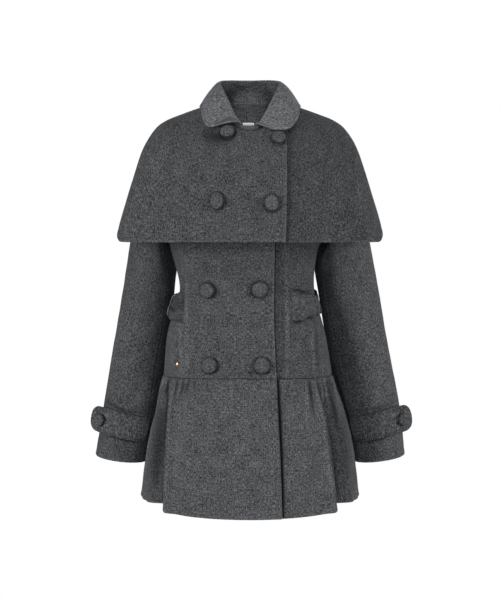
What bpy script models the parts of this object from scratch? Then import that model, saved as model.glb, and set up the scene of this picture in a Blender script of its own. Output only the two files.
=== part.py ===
"""Wool cape coat: a short double-breasted coat with a gathered skirt and a shoulder cape.

The coat is modelled filled out and hollow, as it hangs on its wearer. Every cut piece is a
thin wall of cloth, lofted through rings that are worked out from the tables of sizes below.
+Z is up, the front faces -Y and the wearer's left is +X. The origin is the middle of the
neck opening, level with the foot of the collar at the sides. Tables are in millimetres and
degrees, and everything that leaves a table is in metres.

An angle on the body is 0 at the front, 90 at the wearer's left side and 180 at the back.
A place is the number of a table's row, and fractions lie between rows.
"""

import math

import bmesh
import bpy
import numpy as np
from mathutils import Vector

MM = 0.001

# ---- Cloth ----
WALL = 2.5 * MM            # thickness of the coating
SEAM_GAP = 0.3 * MM        # between two pieces that are sewn together
LAP = 3.5 * MM             # how far the lapping front lies off the front under it
CAPE_LAP = 3.6 * MM

# ---- Coat body: ovals from the neck seam to the low waist seam ----
# half_width, front and back are the oval's reach. squareness fills out its corners.
# shift moves it to the wearer's left. z_front, z_side and z_back are the heights.
# princess_right to princess_left are where seams and front edges run, across the front.
BODY_COLUMNS = (
    "place half_width front back squareness shift z_front z_side z_back "
    "princess_right under_edge lap_edge princess_left"
)
BODY = [
    (0, 64, 86, 62, 0.00, 0, -51, 2, 10, -42, -20, 22, 44),
    (1, 116, 95, 82, 0.02, 0, -76, -18, -16, -74, -44, 38, 66),
    (2, 166, 100, 95, 0.04, 0, -104, -48, -52, -94, -58, 44, 76),
    (3, 160, 108, 102, 0.05, -1, -150, -130, -132, -102, -68, 43, 70),
    (4, 147, 112, 102, 0.04, -5, -212, -212, -212, -108, -78, 42, 65),
    (5, 131, 107, 95, 0.03, -10, -258, -258, -258, -113, -86, 41, 64),
    (6, 120.5, 97, 84, 0.02, -5.5, -328, -328, -328, -112, -93, 40.5, 69),
    (7, 140.6, 108, 99, 0.02, -7, -400, -400, -400, -117, -90, 41, 69.5),
    (8, 151.3, 116, 110, 0.02, -4, -474, -479, -478, -123, -94, 44.5, 71),
]
SHOULDER_TIP, UNDERARM, LOW_WAIST = 2, 4, 8
ARMHOLE_REACH = 34         # degrees that the armhole takes to each side of the side line
ARMHOLE_STEPS = 8
ARMHOLE_CLEAR = 0.75 * MM  # the sleeve's seam stands this far out of the body's

# ---- Skirt: from the low waist seam to the hem ----
SKIRT_COLUMNS = (
    "place half_width front back squareness shift z_front z_side z_back fold "
    "fold_right under_edge lap_edge fold_left"
)
SKIRT = [
    (0, 151.3, 116, 110, 0.02, -4, -474.9, -479.4, -478.4, 0.00, -141, -94, 44.5, 112),
    (1, 163, 122, 121, 0.02, -4, -503, -505, -504, 0.45, -140, -94, 46, 120),
    (2, 174.5, 131, 131, 0.02, -1, -545, -545, -545, 0.75, -144, -94, 48, 130),
    (3, 186, 141, 140, 0.02, 0, -612, -612, -612, 0.92, -148, -95, 51, 142),
    (4, 195, 152, 148, 0.02, 0, -710, -702.5, -709, 1.00, -150, -96, 54, 151),
]
# Folds and gathers across one side of the skirt, from its front fold to the middle of the
# back. after is degrees past the front fold at the hem, depth is how far the cloth stands
# out (or in, when negative) at the hem, and spread is half the fold's width in degrees.
GATHER_COLUMNS = "after depth spread"
GATHERS = [
    (-2.5, 8, 4.5),
    (8.5, -36, 6.0),
    (16, 9, 3.6),
    (24, -9, 3.4),
    (32, 4, 3.2),
    (37.5, -4, 2.8),
    (44, 6, 3.8),
    (52, -7, 3.6),
    (61, 8, 4.2),
    (70, -6, 3.8),
    (80, 6, 4.0),
    (89, -7, 4.0),
    (99, 8, 4.4),
    (109, -6, 4.2),
    (119, 6, 4.0),
    (127, -5, 3.6),
]

# ---- Shoulder cape: from the neck seam to its hem ----
CAPE_COLUMNS = (
    "place half_width front back squareness z_front z_side z_back corner under_edge lap_edge"
)
CAPE = [
    (0, 67.3, 93.5, 65.4, 0.00, -51, 5, 13, 0, -46, 42),
    (1, 117, 108, 93, 0.02, -84, -12.5, -11, 0, -78, 61),
    (2, 150, 117, 107, 0.04, -109, -26, -34, 0, -79, 62),
    (3, 171, 123, 115, 0.05, -128, -43, -56, 0, -80, 62),
    (4, 191, 128, 123, 0.06, -154, -76, -92, 0, -80, 61.5),
    (5, 209.5, 133, 130, 0.06, -186, -131, -141, 0, -80, 61),
    (6, 230.5, 139, 136, 0.06, -222, -198, -204, 0.2, -80, 60),
    (7, 237.5, 143, 139, 0.06, -239, -226, -240, 1, -80, 59),
]
HEM_CORNER = 0.45          # cosine at which the hem has come down from its raised side corner

# ---- Sleeves: rings from the armhole to the hem, each sleeve with its own two edges ----
# tuck and swing carry the fold behind the inner edge in towards the body and to the back.
SLEEVE_COLUMNS = "place outer outer_z inner inner_z y_middle half_depth tuck swing"
SLEEVE_RIGHT = [
    (1, 176, -66, 160, -224, 3, 58, 0, 0),
    (2, 189, -94, 157, -242, 9, 60, 12, 14),
    (3, 204, -152, 148, -280, 20, 58, 14.5, 12),
    (4, 218, -243, 138, -322, 32, 54, 1, 2),
    (5, 233, -331, 146, -392, 44, 50, 2, 2),
    (6, 254, -448, 165, -478, 50, 47, 9, 5),
    (7, 271, -547, 180, -564, 52, 46, 3, 0),
    (8, 285.5, -634, 191, -646, 50, 46, 0, 0),
]
SLEEVE_LEFT = [
    (1, 176, -66, 157, -224, 3, 58, 0, 0),
    (2, 189, -94, 145, -244, 10, 60, 19, 16),
    (3, 204, -152, 123, -280, 22, 58, 6, 12),
    (4, 218, -242, 122.5, -322, 34, 55, 0, 2),
    (5, 235, -326, 135, -396, 44, 50, 0, 0),
    (6, 256, -440, 157, -474, 51, 47, 9, 5),
    (7, 277, -547, 179, -566, 52, 46, 2, 0),
    (8, 286, -633, 191, -646, 50, 46, 0, 0),
]
TUCK_TURN, TUCK_SPREAD = 194, 30
UNDER_SLEEVE_START, UNDER_SLEEVE_END = 140, 236   # degrees round the sleeve from its outer edge

# ---- Collar ----
ROLL_HALF_WIDTH, ROLL_FRONT, ROLL_BACK = 55.5, 84, 53
# Height of the roll line, the same on both sides, by degrees from the front.
ROLL_COLUMNS = "angle z"
ROLL = [(0, -40.5), (15, -38.5), (26, -27), (36, -12), (52, 12), (73, 34), (95, 42.5), (135, 47), (180, 48.5)]
STAND_START, STAND_END = -16, 376                 # the stand's two ends lap at the front
COLLAR_START, COLLAR_END = 11.5, 344.5            # the turned-down part stops short of them
STAND_CLEAR, ROLL_CLEAR = 0.5 * MM, 0.7 * MM      # over the neck seam, and over the stand
ROLL_RISE = 2.5
COLLAR_COLUMNS = 44
# Outer edge of the turned-down part: the angle on the roll line, then the edge's own x and z,
# and how far it stands off the cape.
EDGE_COLUMNS = "angle x z lift"
COLLAR_EDGE = [
    (11.5, 12.1, -36.5, 4.0),
    (20, 22.1, -42.7, 6.0),
    (31, 33.7, -50.6, 10.0),
    (41, 48, -54, 12.5),
    (50, 61, -52.5, 11.5),
    (58, 71.7, -46.3, 9.0),
    (66, 80.1, -34.4, 6.5),
    (76, 85.4, -21.7, 5.5),
    (88, 86.9, -10, 5.0),
]
COLLAR_EDGE_RIGHT = [
    (272, -85.3, -9.6, 5.0),
    (284, -83.5, -21.1, 5.5),
    (295, -79.5, -35.7, 6.5),
    (303, -72.9, -45.6, 9.0),
    (312, -62.7, -48.2, 11.5),
    (322, -47.8, -45.6, 13.0),
    (333, -31.9, -41.3, 12.0),
    (344.5, -16.8, -36.5, 5.5),
]

# The same edge round the back, on the left half: degrees round the cape, and the cape's place.
BACK_EDGE_COLUMNS = "angle around place lift"
COLLAR_EDGE_BACK = [
    (102, 101, 0.46, 4.4),
    (116, 117, 0.46, 4.0),
    (132, 134, 0.49, 3.8),
    (156, 157, 0.55, 3.8),
    (180, 180, 0.58, 3.8),
]

# ---- Buttons, straps, belt and trim ----
BUTTON_RADIUS, BUTTON_DOME, BUTTON_RIM = 14, 5.0, 2.6
CUFF_BUTTON_SCALE = 0.88
SHANK_RADIUS, SHANK_HEIGHT = 4.0, 1.2
BUTTON_CLEAR = 0.8 * MM
# Buttons on the coat: height and sideways place of each.
BUTTON_COLUMNS = "name on x z"
BUTTONS = [
    ("button_neck_right", "cape", -38, -55),
    ("button_neck_left", "cape", 48.5, -64.5),
    ("button_cape_right", "cape", -54, -171.5),
    ("button_cape_left", "cape", 37, -175),
    ("button_waist_right", "body", -70.5, -324),
    ("button_waist_left", "body", 17, -322),
    ("button_hip_right", "body", -67, -453),
    ("button_hip_left", "body", 20.5, -452.5),
]
STUD_X, STUD_Z, STUD_RADIUS, STUD_HEIGHT = -128, -453.5, 4.5, 2.4

STRAP_FOOT, STRAP_HEIGHT = 45, 46          # above the sleeve's hem
STRAP_START, STRAP_TIP = 141, 12           # degrees round the sleeve
STRAP_CLEAR, STRAP_STAND_OFF = 3.7, 16.5
STRAP_BEND = 78                            # where the strap starts to leave the sleeve
STRAP_BUTTON_ANGLE = 34

BELT_Z, BELT_HEIGHT, BELT_PINCHED = -349, 48, 29
BELT_CLEAR, BELT_PUFF = 4.4, 4.0
KEEPER_RIGHT, KEEPER_LEFT = 272, 70        # degrees round the body
KEEPER_WIDTH, KEEPER_HEIGHT = 11, 34
PINCH_SPREAD = 13

LABEL_WIDTH, LABEL_TOP, LABEL_BOTTOM, LABEL_WALL = 25, -21, -46, 0.6
LABEL_CLEAR = 1.0 * MM

# ---- Colours (linear) ----
WOOL = (0.075, 0.077, 0.080, 1)
WOOL_BUTTON = (0.062, 0.064, 0.067, 1)
BRASS = (0.52, 0.39, 0.20, 1)
LABEL = (0.86, 0.86, 0.84, 1)


# ---------------------------------------------------------------- tables and curves

class Rows:
    """A table whose named columns can be read at any place, on a smooth curve through its rows."""

    def __init__(self, columns, rows):
        self.columns = columns.split()[1:]
        rows = np.array(rows, float)
        self.places, self.values = rows[:, 0], rows[:, 1:]
        step = np.diff(self.places)[:, None]
        slope = np.diff(self.values, axis=0) / step
        inner = (slope[:-1] * step[1:] + slope[1:] * step[:-1]) / (step[1:] + step[:-1])
        self.slopes = np.vstack([slope[:1], inner, slope[-1:]])

    def at(self, place):
        """A dictionary of the columns at this place. Past an end the curve runs on straight."""
        inside = min(max(place, self.places[0]), self.places[-1])
        row = min(int(np.searchsorted(self.places, inside, "right")) - 1, len(self.places) - 2)
        step = self.places[row + 1] - self.places[row]
        t = (inside - self.places[row]) / step
        low, high = self.values[row], self.values[row + 1]
        low_slope, high_slope = self.slopes[row] * step, self.slopes[row + 1] * step
        value = (
            low * (1 + 2 * t) * (1 - t) ** 2
            + low_slope * t * (1 - t) ** 2
            + high * t * t * (3 - 2 * t)
            + high_slope * t * t * (t - 1)
        )
        end = self.slopes[0] if place < inside else self.slopes[-1]
        return dict(zip(self.columns, value + end * (place - inside)))


def mix(low, high, share):
    return low + (high - low) * share


def ease(x):
    """0 below 0, 1 above 1, and a smooth step between."""
    x = min(max(x, 0.0), 1.0)
    return x * x * (3 - 2 * x)


def bell(x):
    return math.exp(-x * x)


def unit(vector):
    return vector / np.linalg.norm(vector)


def solve(function, target, low, high, steps=40):
    """Where a function that only rises or only falls between low and high reaches target."""
    rising = function(high) > function(low)
    for _ in range(steps):
        middle = (low + high) / 2
        if (function(middle) < target) == rising:
            low = middle
        else:
            high = middle
    return (low + high) / 2


# ---------------------------------------------------------------- surfaces

def oval(angle, row, z):
    """A point on a row's oval, at this angle and height."""
    a = math.radians(angle)
    square = row["squareness"]
    across = (math.sin(a) + square * math.sin(3 * a)) / (1 - square)
    along = (math.cos(a) - square * math.cos(3 * a)) / (1 - square)
    reach = row["front"] if along > 0 else row["back"]
    return np.array([row.get("shift", 0) + row["half_width"] * across, -reach * along, z]) * MM


def tilted_z(angle, row):
    """The height on a ring that dips or rises towards its front and back."""
    c = math.cos(math.radians(angle))
    end = row["z_front"] if c > 0 else row["z_back"]
    share = mix(c * c, ease(abs(c) / HEM_CORNER), row.get("corner", 0))
    return row["z_side"] + (end - row["z_side"]) * share


BODY_ROWS = Rows(BODY_COLUMNS, BODY)
SKIRT_ROWS = Rows(SKIRT_COLUMNS, SKIRT)
CAPE_ROWS = Rows(CAPE_COLUMNS, CAPE)
ROLL_ROWS = Rows(ROLL_COLUMNS, ROLL)
SLEEVES = {"right": Rows(SLEEVE_COLUMNS, SLEEVE_RIGHT), "left": Rows(SLEEVE_COLUMNS, SLEEVE_LEFT)}
SIDE_SIGN = {"right": -1, "left": 1}
SLEEVE_END = SLEEVE_RIGHT[-1][0]


def body(angle, place):
    row = BODY_ROWS.at(place)
    return oval(angle, row, tilted_z(angle, row))


def cape(angle, place):
    row = CAPE_ROWS.at(place)
    return oval(angle, row, tilted_z(angle, row))


def angle_at_x(surface, place, x, back=False):
    """The angle at which a surface's ring passes this x, across its front or its back."""
    low, high = (91, 269) if back else (-89, 89)
    return solve(lambda angle: surface(angle, place)[0], x * MM, low, high)


def plain_skirt(angle, place):
    row = SKIRT_ROWS.at(place)
    return oval(angle, row, tilted_z(angle, row))


def fold_angles(place):
    """The angles of the two big front folds at this place."""
    row = SKIRT_ROWS.at(place)
    right = angle_at_x(plain_skirt, place, row["fold_right"])
    left = angle_at_x(plain_skirt, place, row["fold_left"])
    return right, left


FOLD_PLACES = np.linspace(-0.2, SKIRT[-1][0] + 0.2, 23)
FOLD_RIGHT, FOLD_LEFT = np.array([fold_angles(p) for p in FOLD_PLACES]).T
GATHER_ROWS = [dict(zip(GATHER_COLUMNS.split(), row)) for row in GATHERS]
HEM_FOLD = {"right": FOLD_RIGHT[-2], "left": FOLD_LEFT[-2]}


def skirt_wave(angle, place):
    """How far the gathers move the skirt out at this angle, before they fade towards the seam."""
    around = (angle + 180) % 360 - 180
    total = 0.0
    for side, fold in (("right", FOLD_RIGHT), ("left", FOLD_LEFT)):
        sign = SIDE_SIGN[side]
        start = np.interp(place, FOLD_PLACES, fold)
        squeeze = (180 - sign * start) / (180 - sign * HEM_FOLD[side])
        past = sign * (around - start)
        if sign * around < -90:
            past += 360
        for gather in GATHER_ROWS:
            distance = past / squeeze - gather["after"]
            if abs(distance) < 4 * gather["spread"]:
                total += gather["depth"] * bell(distance / gather["spread"])
    return total


def skirt(angle, place):
    point = plain_skirt(angle, place)
    grown = SKIRT_ROWS.at(max(place, 0.0))["fold"]
    outward = unit(np.array([math.sin(math.radians(angle)), -math.cos(math.radians(angle)), 0]))
    return point + outward * skirt_wave(angle, place) * grown * MM


def sleeve_ring(side, turn, place):
    """A point on a sleeve below its armhole. turn is 0 at the outer edge and 90 at the front."""
    row = SLEEVES[side].at(place)
    sign = SIDE_SIGN[side]
    outer = np.array([sign * row["outer"], row["y_middle"], row["outer_z"]]) * MM
    inner = np.array([sign * row["inner"], row["y_middle"], row["inner_z"]]) * MM
    t = math.radians(turn)
    depth = np.array([0, -row["half_depth"] * MM, 0])
    near = bell(((turn - TUCK_TURN + 180) % 360 - 180) / TUCK_SPREAD)
    tuck = np.array([-sign * row["tuck"], row["swing"], 0]) * MM * near
    return (outer + inner) / 2 + (outer - inner) / 2 * math.cos(t) + depth * math.sin(t) + tuck


def armhole(side, turn, clear):
    """A point on the armhole's seam, moved clear of the body along its normal."""
    t = math.radians(turn)
    place = mix(SHOULDER_TIP, UNDERARM, (1 - math.cos(t)) / 2)
    angle = SIDE_SIGN[side] * (90 - ARMHOLE_REACH * math.sin(t))
    return body(angle, place) + normal(body, angle, place) * clear


def sleeve(side, turn, place):
    """The sleeve from its armhole seam (place 0) to its hem."""
    if place >= 1:
        return sleeve_ring(side, turn, place)
    start, end = armhole(side, turn, ARMHOLE_CLEAR), sleeve_ring(side, turn, 1)
    run = sleeve_ring(side, turn, 1.5) - end
    away = np.array([SIDE_SIGN[side] * 8, 0, 0]) * MM * abs(math.cos(math.radians(turn / 2)))
    t = place
    return (
        start * (1 + 2 * t) * (1 - t) ** 2
        + away * t * (1 - t) ** 2
        + end * t * t * (3 - 2 * t)
        + run * t * t * (t - 1)
    )


def normal(surface, angle, place, step=0.02):
    """The surface's outward direction, across which the wall gets its thickness."""
    across = surface(angle + 25 * step, place) - surface(angle - 25 * step, place)
    down = surface(angle, place + step) - surface(angle, place - step)
    return unit(np.cross(down, across))


# ---------------------------------------------------------------- making solids

def material(name, colour, roughness, metallic=0.0):
    made = bpy.data.materials.new(name)
    made.use_nodes = True
    shader = made.node_tree.nodes["Principled BSDF"]
    shader.inputs["Base Color"].default_value = colour
    shader.inputs["Roughness"].default_value = roughness
    shader.inputs["Metallic"].default_value = metallic
    return made


def add_object(name, mesh, look, collection):
    mesh.materials.append(look)
    made = bpy.data.objects.new(name, mesh)
    collection.objects.link(made)
    return made


def drawn_in(grid, edges):
    """How far each point of a grid moves when the sewn edges are drawn in by half a seam gap."""
    moves = np.zeros_like(grid)
    for edge in edges:
        outer, inner = {
            "start": (np.s_[:, 0], np.s_[:, 1]),
            "end": (np.s_[:, -1], np.s_[:, -2]),
            "top": (np.s_[0], np.s_[1]),
            "foot": (np.s_[-1], np.s_[-2]),
        }[edge]
        run = grid[inner] - grid[outer]
        moves[outer] += run / np.linalg.norm(run, axis=-1, keepdims=True) * SEAM_GAP / 2
    return moves


def wall_mesh(name, outside, inside):
    """A closed wall between two grids of points, the outside one facing out."""
    rows, columns = outside.shape[:2]
    loft = bmesh.new()
    out = [[loft.verts.new(p) for p in line] for line in outside]
    into = [[loft.verts.new(p) for p in line] for line in inside]
    for j in range(rows - 1):
        for i in range(columns - 1):
            loft.faces.new((out[j][i], out[j + 1][i], out[j + 1][i + 1], out[j][i + 1]))
            loft.faces.new((into[j][i], into[j][i + 1], into[j + 1][i + 1], into[j + 1][i]))
    for j in range(rows - 1):
        loft.faces.new((out[j][0], into[j][0], into[j + 1][0], out[j + 1][0]))
        loft.faces.new((out[j][-1], out[j + 1][-1], into[j + 1][-1], into[j][-1]))
    for i in range(columns - 1):
        loft.faces.new((out[0][i], out[0][i + 1], into[0][i + 1], into[0][i]))
        loft.faces.new((out[-1][i], into[-1][i], into[-1][i + 1], out[-1][i + 1]))
    bmesh.ops.recalc_face_normals(loft, faces=loft.faces)
    if loft.calc_volume(signed=True) < 0:
        bmesh.ops.reverse_faces(loft, faces=loft.faces)
    mesh = bpy.data.meshes.new(name)
    loft.to_mesh(mesh)
    loft.free()
    mesh.shade_smooth()
    mesh.set_sharp_from_angle(angle=math.radians(50))
    return mesh


def panel(name, surface, spots, look, collection, lift=None, wall=WALL, sewn=()):
    """A cloth piece. spots is a grid of (angle, place), and lift(row, column) moves it out."""
    outside, inside = [], []
    for j, line in enumerate(spots):
        points = [surface(angle, place) for angle, place in line]
        out = [normal(surface, angle, place) for angle, place in line]
        lifts = [lift(j, i) if lift else 0.0 for i in range(len(line))]
        outside.append([p + n * h for p, n, h in zip(points, out, lifts)])
        inside.append([p + n * (h - wall) for p, n, h in zip(points, out, lifts)])
    outside, inside = np.array(outside), np.array(inside)
    moves = drawn_in(outside, sewn)
    return add_object(name, wall_mesh(name, outside + moves, inside + moves), look, collection)


# ---------------------------------------------------------------- coat body

def armhole_turn(place):
    """Degrees round the armhole from the shoulder tip, at this place on the body."""
    share = (place - SHOULDER_TIP) / (UNDERARM - SHOULDER_TIP)
    return math.degrees(math.acos(1 - 2 * min(max(share, 0), 1)))


def side_angle(place):
    """How far from the front the body's front pieces reach: 90 but for the armhole."""
    return 90 - ARMHOLE_REACH * math.sin(math.radians(armhole_turn(place)))


def body_places():
    above = [0, 0.5, 1, 1.5]
    beside = [
        mix(SHOULDER_TIP, UNDERARM, (1 - math.cos(math.pi * k / ARMHOLE_STEPS)) / 2)
        for k in range(ARMHOLE_STEPS + 1)
    ]
    below = [4.5, 5, 5.5, 6, 6.5, 7, 7.5, 8]
    return above + beside + below


def line_on_body(column):
    """The angle of a named seam or edge, as a function of the place."""
    return lambda place: angle_at_x(body, place, BODY_ROWS.at(place)[column])


def spread(start, end, columns, places):
    """A grid of (angle, place) between two lines that run down a surface."""
    shares = np.linspace(0, 1, columns + 1)
    return [[(mix(start(p), end(p), t), p) for t in shares] for p in places]


LAP_LEAD = 3.0             # degrees before the piece under it where the front is fully lifted


def lapping(spots, seam, under, lap):
    """A lift that rises from nothing at the seam to the lap where the piece under starts."""
    def lift(j, i):
        angle, place = spots[j][i]
        low, high = seam(place), under(place) - LAP_LEAD
        return lap * ease((angle - low) / (high - low))
    return lift


def add_body(look, collection):
    places = body_places()
    princess_right = line_on_body("princess_right")
    princess_left = line_on_body("princess_left")
    under_edge, lap_edge = line_on_body("under_edge"), line_on_body("lap_edge")

    spots = spread(princess_right, lap_edge, 9, places)
    lift = lapping(spots, princess_right, under_edge, LAP)
    panel("front_right", body, spots, look, collection, lift, sewn=("start", "foot"))
    spots = spread(under_edge, princess_left, 9, places)
    panel("front_left", body, spots, look, collection, sewn=("end", "foot"))
    spots = spread(lambda p: -side_angle(p), princess_right, 4, places)
    panel("side_front_right", body, spots, look, collection, sewn=("start", "end", "foot"))
    spots = spread(princess_left, side_angle, 5, places)
    panel("side_front_left", body, spots, look, collection, sewn=("start", "end", "foot"))
    spots = spread(lambda p: 180 - side_angle(p), lambda p: 180 + side_angle(p), 18, places)
    panel("back", body, spots, look, collection, sewn=("start", "end", "foot"))


# ---------------------------------------------------------------- skirt

SKIRT_PLACES = [0, 0.5, 1, 1.7, 2.6, 4]
FLAT_STEP, GATHER_STEP = 9.0, 2.7


def skirt_shares(start, end, fold, flat_first):
    """Shares across a front skirt piece: wide steps on the flat part, narrow in the gathers."""
    flat = max(int(abs(fold - start if flat_first else end - fold) / FLAT_STEP), 3)
    fine = max(int(abs(end - fold if flat_first else fold - start) / GATHER_STEP), 8)
    turn = (fold - start) / (end - start)
    first, second = (flat, fine) if flat_first else (fine, flat)
    return np.concatenate([
        np.linspace(0, turn, first + 1)[:-1],
        np.linspace(turn, 1, second + 1),
    ])


def skirt_line(column):
    return lambda place: angle_at_x(plain_skirt, place, SKIRT_ROWS.at(place)[column])


def add_skirt(look, collection):
    under_edge, lap_edge = skirt_line("under_edge"), skirt_line("lap_edge")
    inner_right = HEM_FOLD["right"] + 8
    inner_left = HEM_FOLD["left"] - 8

    shares = skirt_shares(-90, lap_edge(4), inner_right, flat_first=False)
    spots = [[(mix(-90, lap_edge(p), t), p) for t in shares] for p in SKIRT_PLACES]
    lift = lapping(spots, lambda p: under_edge(p) - 14, under_edge, LAP)
    panel("skirt_front_right", skirt, spots, look, collection, lift, sewn=("start", "top"))

    shares = skirt_shares(under_edge(4), 90, inner_left, flat_first=True)
    spots = [[(mix(under_edge(p), 90, t), p) for t in shares] for p in SKIRT_PLACES]
    panel("skirt_front_left", skirt, spots, look, collection, sewn=("end", "top"))

    shares = np.linspace(0, 1, int(180 / GATHER_STEP) + 1)
    spots = [[(mix(90, 270, t), p) for t in shares] for p in SKIRT_PLACES]
    panel("skirt_back", skirt, spots, look, collection, sewn=("start", "end", "top"))


# ---------------------------------------------------------------- sleeves

SLEEVE_PLACES = [0, 0.4, 1, 2, 3, 3.6, 4.2, 5, 6, 7, 8]


def add_sleeve(side, look, collection):
    """Two pieces a sleeve: the upper sleeve round the outside, and the narrow under sleeve."""
    step = 180 / ARMHOLE_STEPS

    def surface(turn, place):
        # the turn runs the other way round on the wearer's left, so that both sleeves face out
        return sleeve(side, turn if side == "right" else -turn, place)

    first, last = UNDER_SLEEVE_START, UNDER_SLEEVE_END
    if side == "left":
        first, last = 360 - last, 360 - first
    upper = np.linspace(last - 360, first, round((first - last + 360) / step) + 1)
    under = np.linspace(first, last, round((last - first) / step) + 1)
    for name, turns in (("upper", upper), ("under", under)):
        spots = [[(turn, place) for turn in turns] for place in SLEEVE_PLACES]
        panel(
            f"sleeve_{name}_{side}", surface, spots, look, collection,
            sewn=("start", "end", "top"),
        )


# ---------------------------------------------------------------- cape

CAPE_PLACES = [0, 0.5, 1, 1.5, 2, 3, 4, 5, 6, 7]


def add_cape(look, collection):
    def line(column):
        return lambda place: angle_at_x(cape, place, CAPE_ROWS.at(place)[column])

    under_edge, lap_edge = line("under_edge"), line("lap_edge")
    spots = spread(lambda p: -90, lap_edge, 16, CAPE_PLACES)
    lift = lapping(spots, lambda p: under_edge(p) - 18, under_edge, CAPE_LAP)
    panel("cape_front_right", cape, spots, look, collection, lift, sewn=("start",))
    spots = spread(under_edge, lambda p: 90, 16, CAPE_PLACES)
    panel("cape_front_left", cape, spots, look, collection, sewn=("end",))
    spots = spread(lambda p: 90, lambda p: 270, 24, CAPE_PLACES)
    panel("cape_back", cape, spots, look, collection, sewn=("start", "end"))


def spot_on(surface, x, z, last_place, first_place=0.0):
    """The angle and place at which a surface's front passes this x and z."""
    def height(place):
        return surface(angle_at_x(surface, place, x), place)[2]

    place = solve(height, z * MM, first_place, last_place, steps=24)
    return angle_at_x(surface, place, x), place


# ---------------------------------------------------------------- collar

def neck_out(angle):
    """Straight out from the neck's oval, level."""
    a = math.radians(angle)
    reach = ROLL_FRONT if math.cos(a) > 0 else ROLL_BACK
    return unit(np.array([math.sin(a) / ROLL_HALF_WIDTH, -math.cos(a) / reach, 0]))


PRINCESS_AT_NECK = angle_at_x(body, 0, BODY[0][9])
UNDER_EDGE_AT_NECK = angle_at_x(body, 0, BODY[0][10])


def neck_lap(angle):
    """The lift of the lapping front's neck edge. It starts past 300 degrees, near the stand's end."""
    if angle < 300:
        return 0.0
    run = UNDER_EDGE_AT_NECK - LAP_LEAD - PRINCESS_AT_NECK
    return LAP * ease((angle - 360 - PRINCESS_AT_NECK) / run)


def neck(angle):
    """The neck seam. Its last stretch lies on the lapping front, out from its first stretch."""
    return body(angle, 0) + normal(body, angle, 0) * neck_lap(angle)


def roll(angle):
    """The line on which the collar turns down, at the top of the stand."""
    a = math.radians(angle)
    c = math.cos(a)
    reach = ROLL_FRONT if c > 0 else ROLL_BACK
    z = ROLL_ROWS.at(abs((angle + 180) % 360 - 180))["z"]
    point = np.array([ROLL_HALF_WIDTH * math.sin(a), -reach * c, z]) * MM
    return point + neck_out(angle) * neck_lap(angle)


def stand(angle, place):
    """The band between the roll line (place 0) and the neck seam (place 1)."""
    foot = neck(angle) + upward(neck, angle) * STAND_CLEAR
    return mix(roll(angle), foot, place)


def upward(line, angle):
    """Up from a line round the neck, square to it."""
    along = unit(line(angle + 1) - line(angle - 1))
    return unit(np.cross(neck_out(angle), along))


def edge_points():
    """The turned-down part's outer edge: spots on the cape, moved out."""
    spots = []
    for row in COLLAR_EDGE + COLLAR_EDGE_RIGHT:
        edge = dict(zip(EDGE_COLUMNS.split(), row))
        spot = spot_on(cape, edge["x"], edge["z"], 3.0, first_place=-0.8)
        spots.append((edge["angle"], spot, edge["lift"]))
    for row in COLLAR_EDGE_BACK:
        edge = dict(zip(BACK_EDGE_COLUMNS.split(), row))
        spots.append((edge["angle"], (edge["around"], edge["place"]), edge["lift"]))
        if edge["angle"] < 180:
            mirrored = (360 - edge["around"], edge["place"])
            spots.append((360 - edge["angle"], mirrored, edge["lift"]))
    rows = [
        (angle, *(cape(*spot) / MM + normal(cape, *spot) * lift))
        for angle, spot, lift in sorted(spots)
    ]
    return Rows("angle x y z", rows)


EDGE_ROWS = edge_points()


def fall(angle, place):
    """The turned-down part, from the top of the stand (place 0) over the roll to its edge."""
    out = neck_out(angle)
    up = upward(roll, angle)
    start = roll(angle) - out * WALL + up * ROLL_CLEAR
    end = np.array(list(EDGE_ROWS.at(angle).values())) * MM
    run = np.linalg.norm(end - start)
    rise = start + up * (ROLL_RISE * MM + 0.10 * run)
    over = start + (end - start) * 0.30 + out * 0.07 * run + up * (ROLL_RISE * MM + 0.15 * run)
    t = place
    return (
        start * (1 - t) ** 3
        + rise * 3 * t * (1 - t) ** 2
        + over * 3 * t * t * (1 - t)
        + end * t ** 3
    )


def add_collar(look, collection):
    angles = np.linspace(COLLAR_START, COLLAR_END, COLLAR_COLUMNS + 1)
    lap = np.linspace(COLLAR_END, STAND_END, 5)[1:]
    around = np.concatenate([np.linspace(STAND_START, COLLAR_START, 5)[:-1], angles, lap])
    spots = [[(angle, place) for angle in around] for place in (0, 0.5, 1)]
    panel("collar_stand", stand, spots, look, collection)
    places = (0, 0.12, 0.26, 0.45, 0.7, 1)
    spots = [[(angle, place) for angle in angles] for place in places]
    panel("collar_fall", fall, spots, look, collection)


# ---------------------------------------------------------------- buttons and stud

def turned(name, profile, look, collection, spot, out, segments=12):
    """A turned piece that stands on a spot, with its axis along out. The profile runs down its side."""
    mesh = bpy.data.meshes.new(name)
    points = [(r * MM, 0, h * MM) for r, h in profile]
    mesh.from_pydata(points, [(i, i + 1) for i in range(len(points) - 1)], [])
    made = add_object(name, mesh, look, collection)
    screw = made.modifiers.new("Turn", "SCREW")
    screw.steps = screw.render_steps = segments
    screw.use_merge_vertices = True
    screw.merge_threshold = 0.00001
    made.location = Vector(spot)
    made.rotation_mode = "QUATERNION"
    made.rotation_quaternion = Vector(out).to_track_quat("Z", "Y")
    return made


def button_profile(scale=1.0):
    """A domed cloth-covered button over its shank, from the middle of the dome down and in."""
    rim = SHANK_HEIGHT + BUTTON_RIM
    top = rim + BUTTON_DOME
    profile = [
        (0, top), (0.62 * BUTTON_RADIUS, top - 1.4), (BUTTON_RADIUS, rim),
        (0.88 * BUTTON_RADIUS, SHANK_HEIGHT), (SHANK_RADIUS, SHANK_HEIGHT), (SHANK_RADIUS, 0),
        (0, 0),
    ]
    return [(radius * scale, height * scale) for radius, height in profile]


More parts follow.
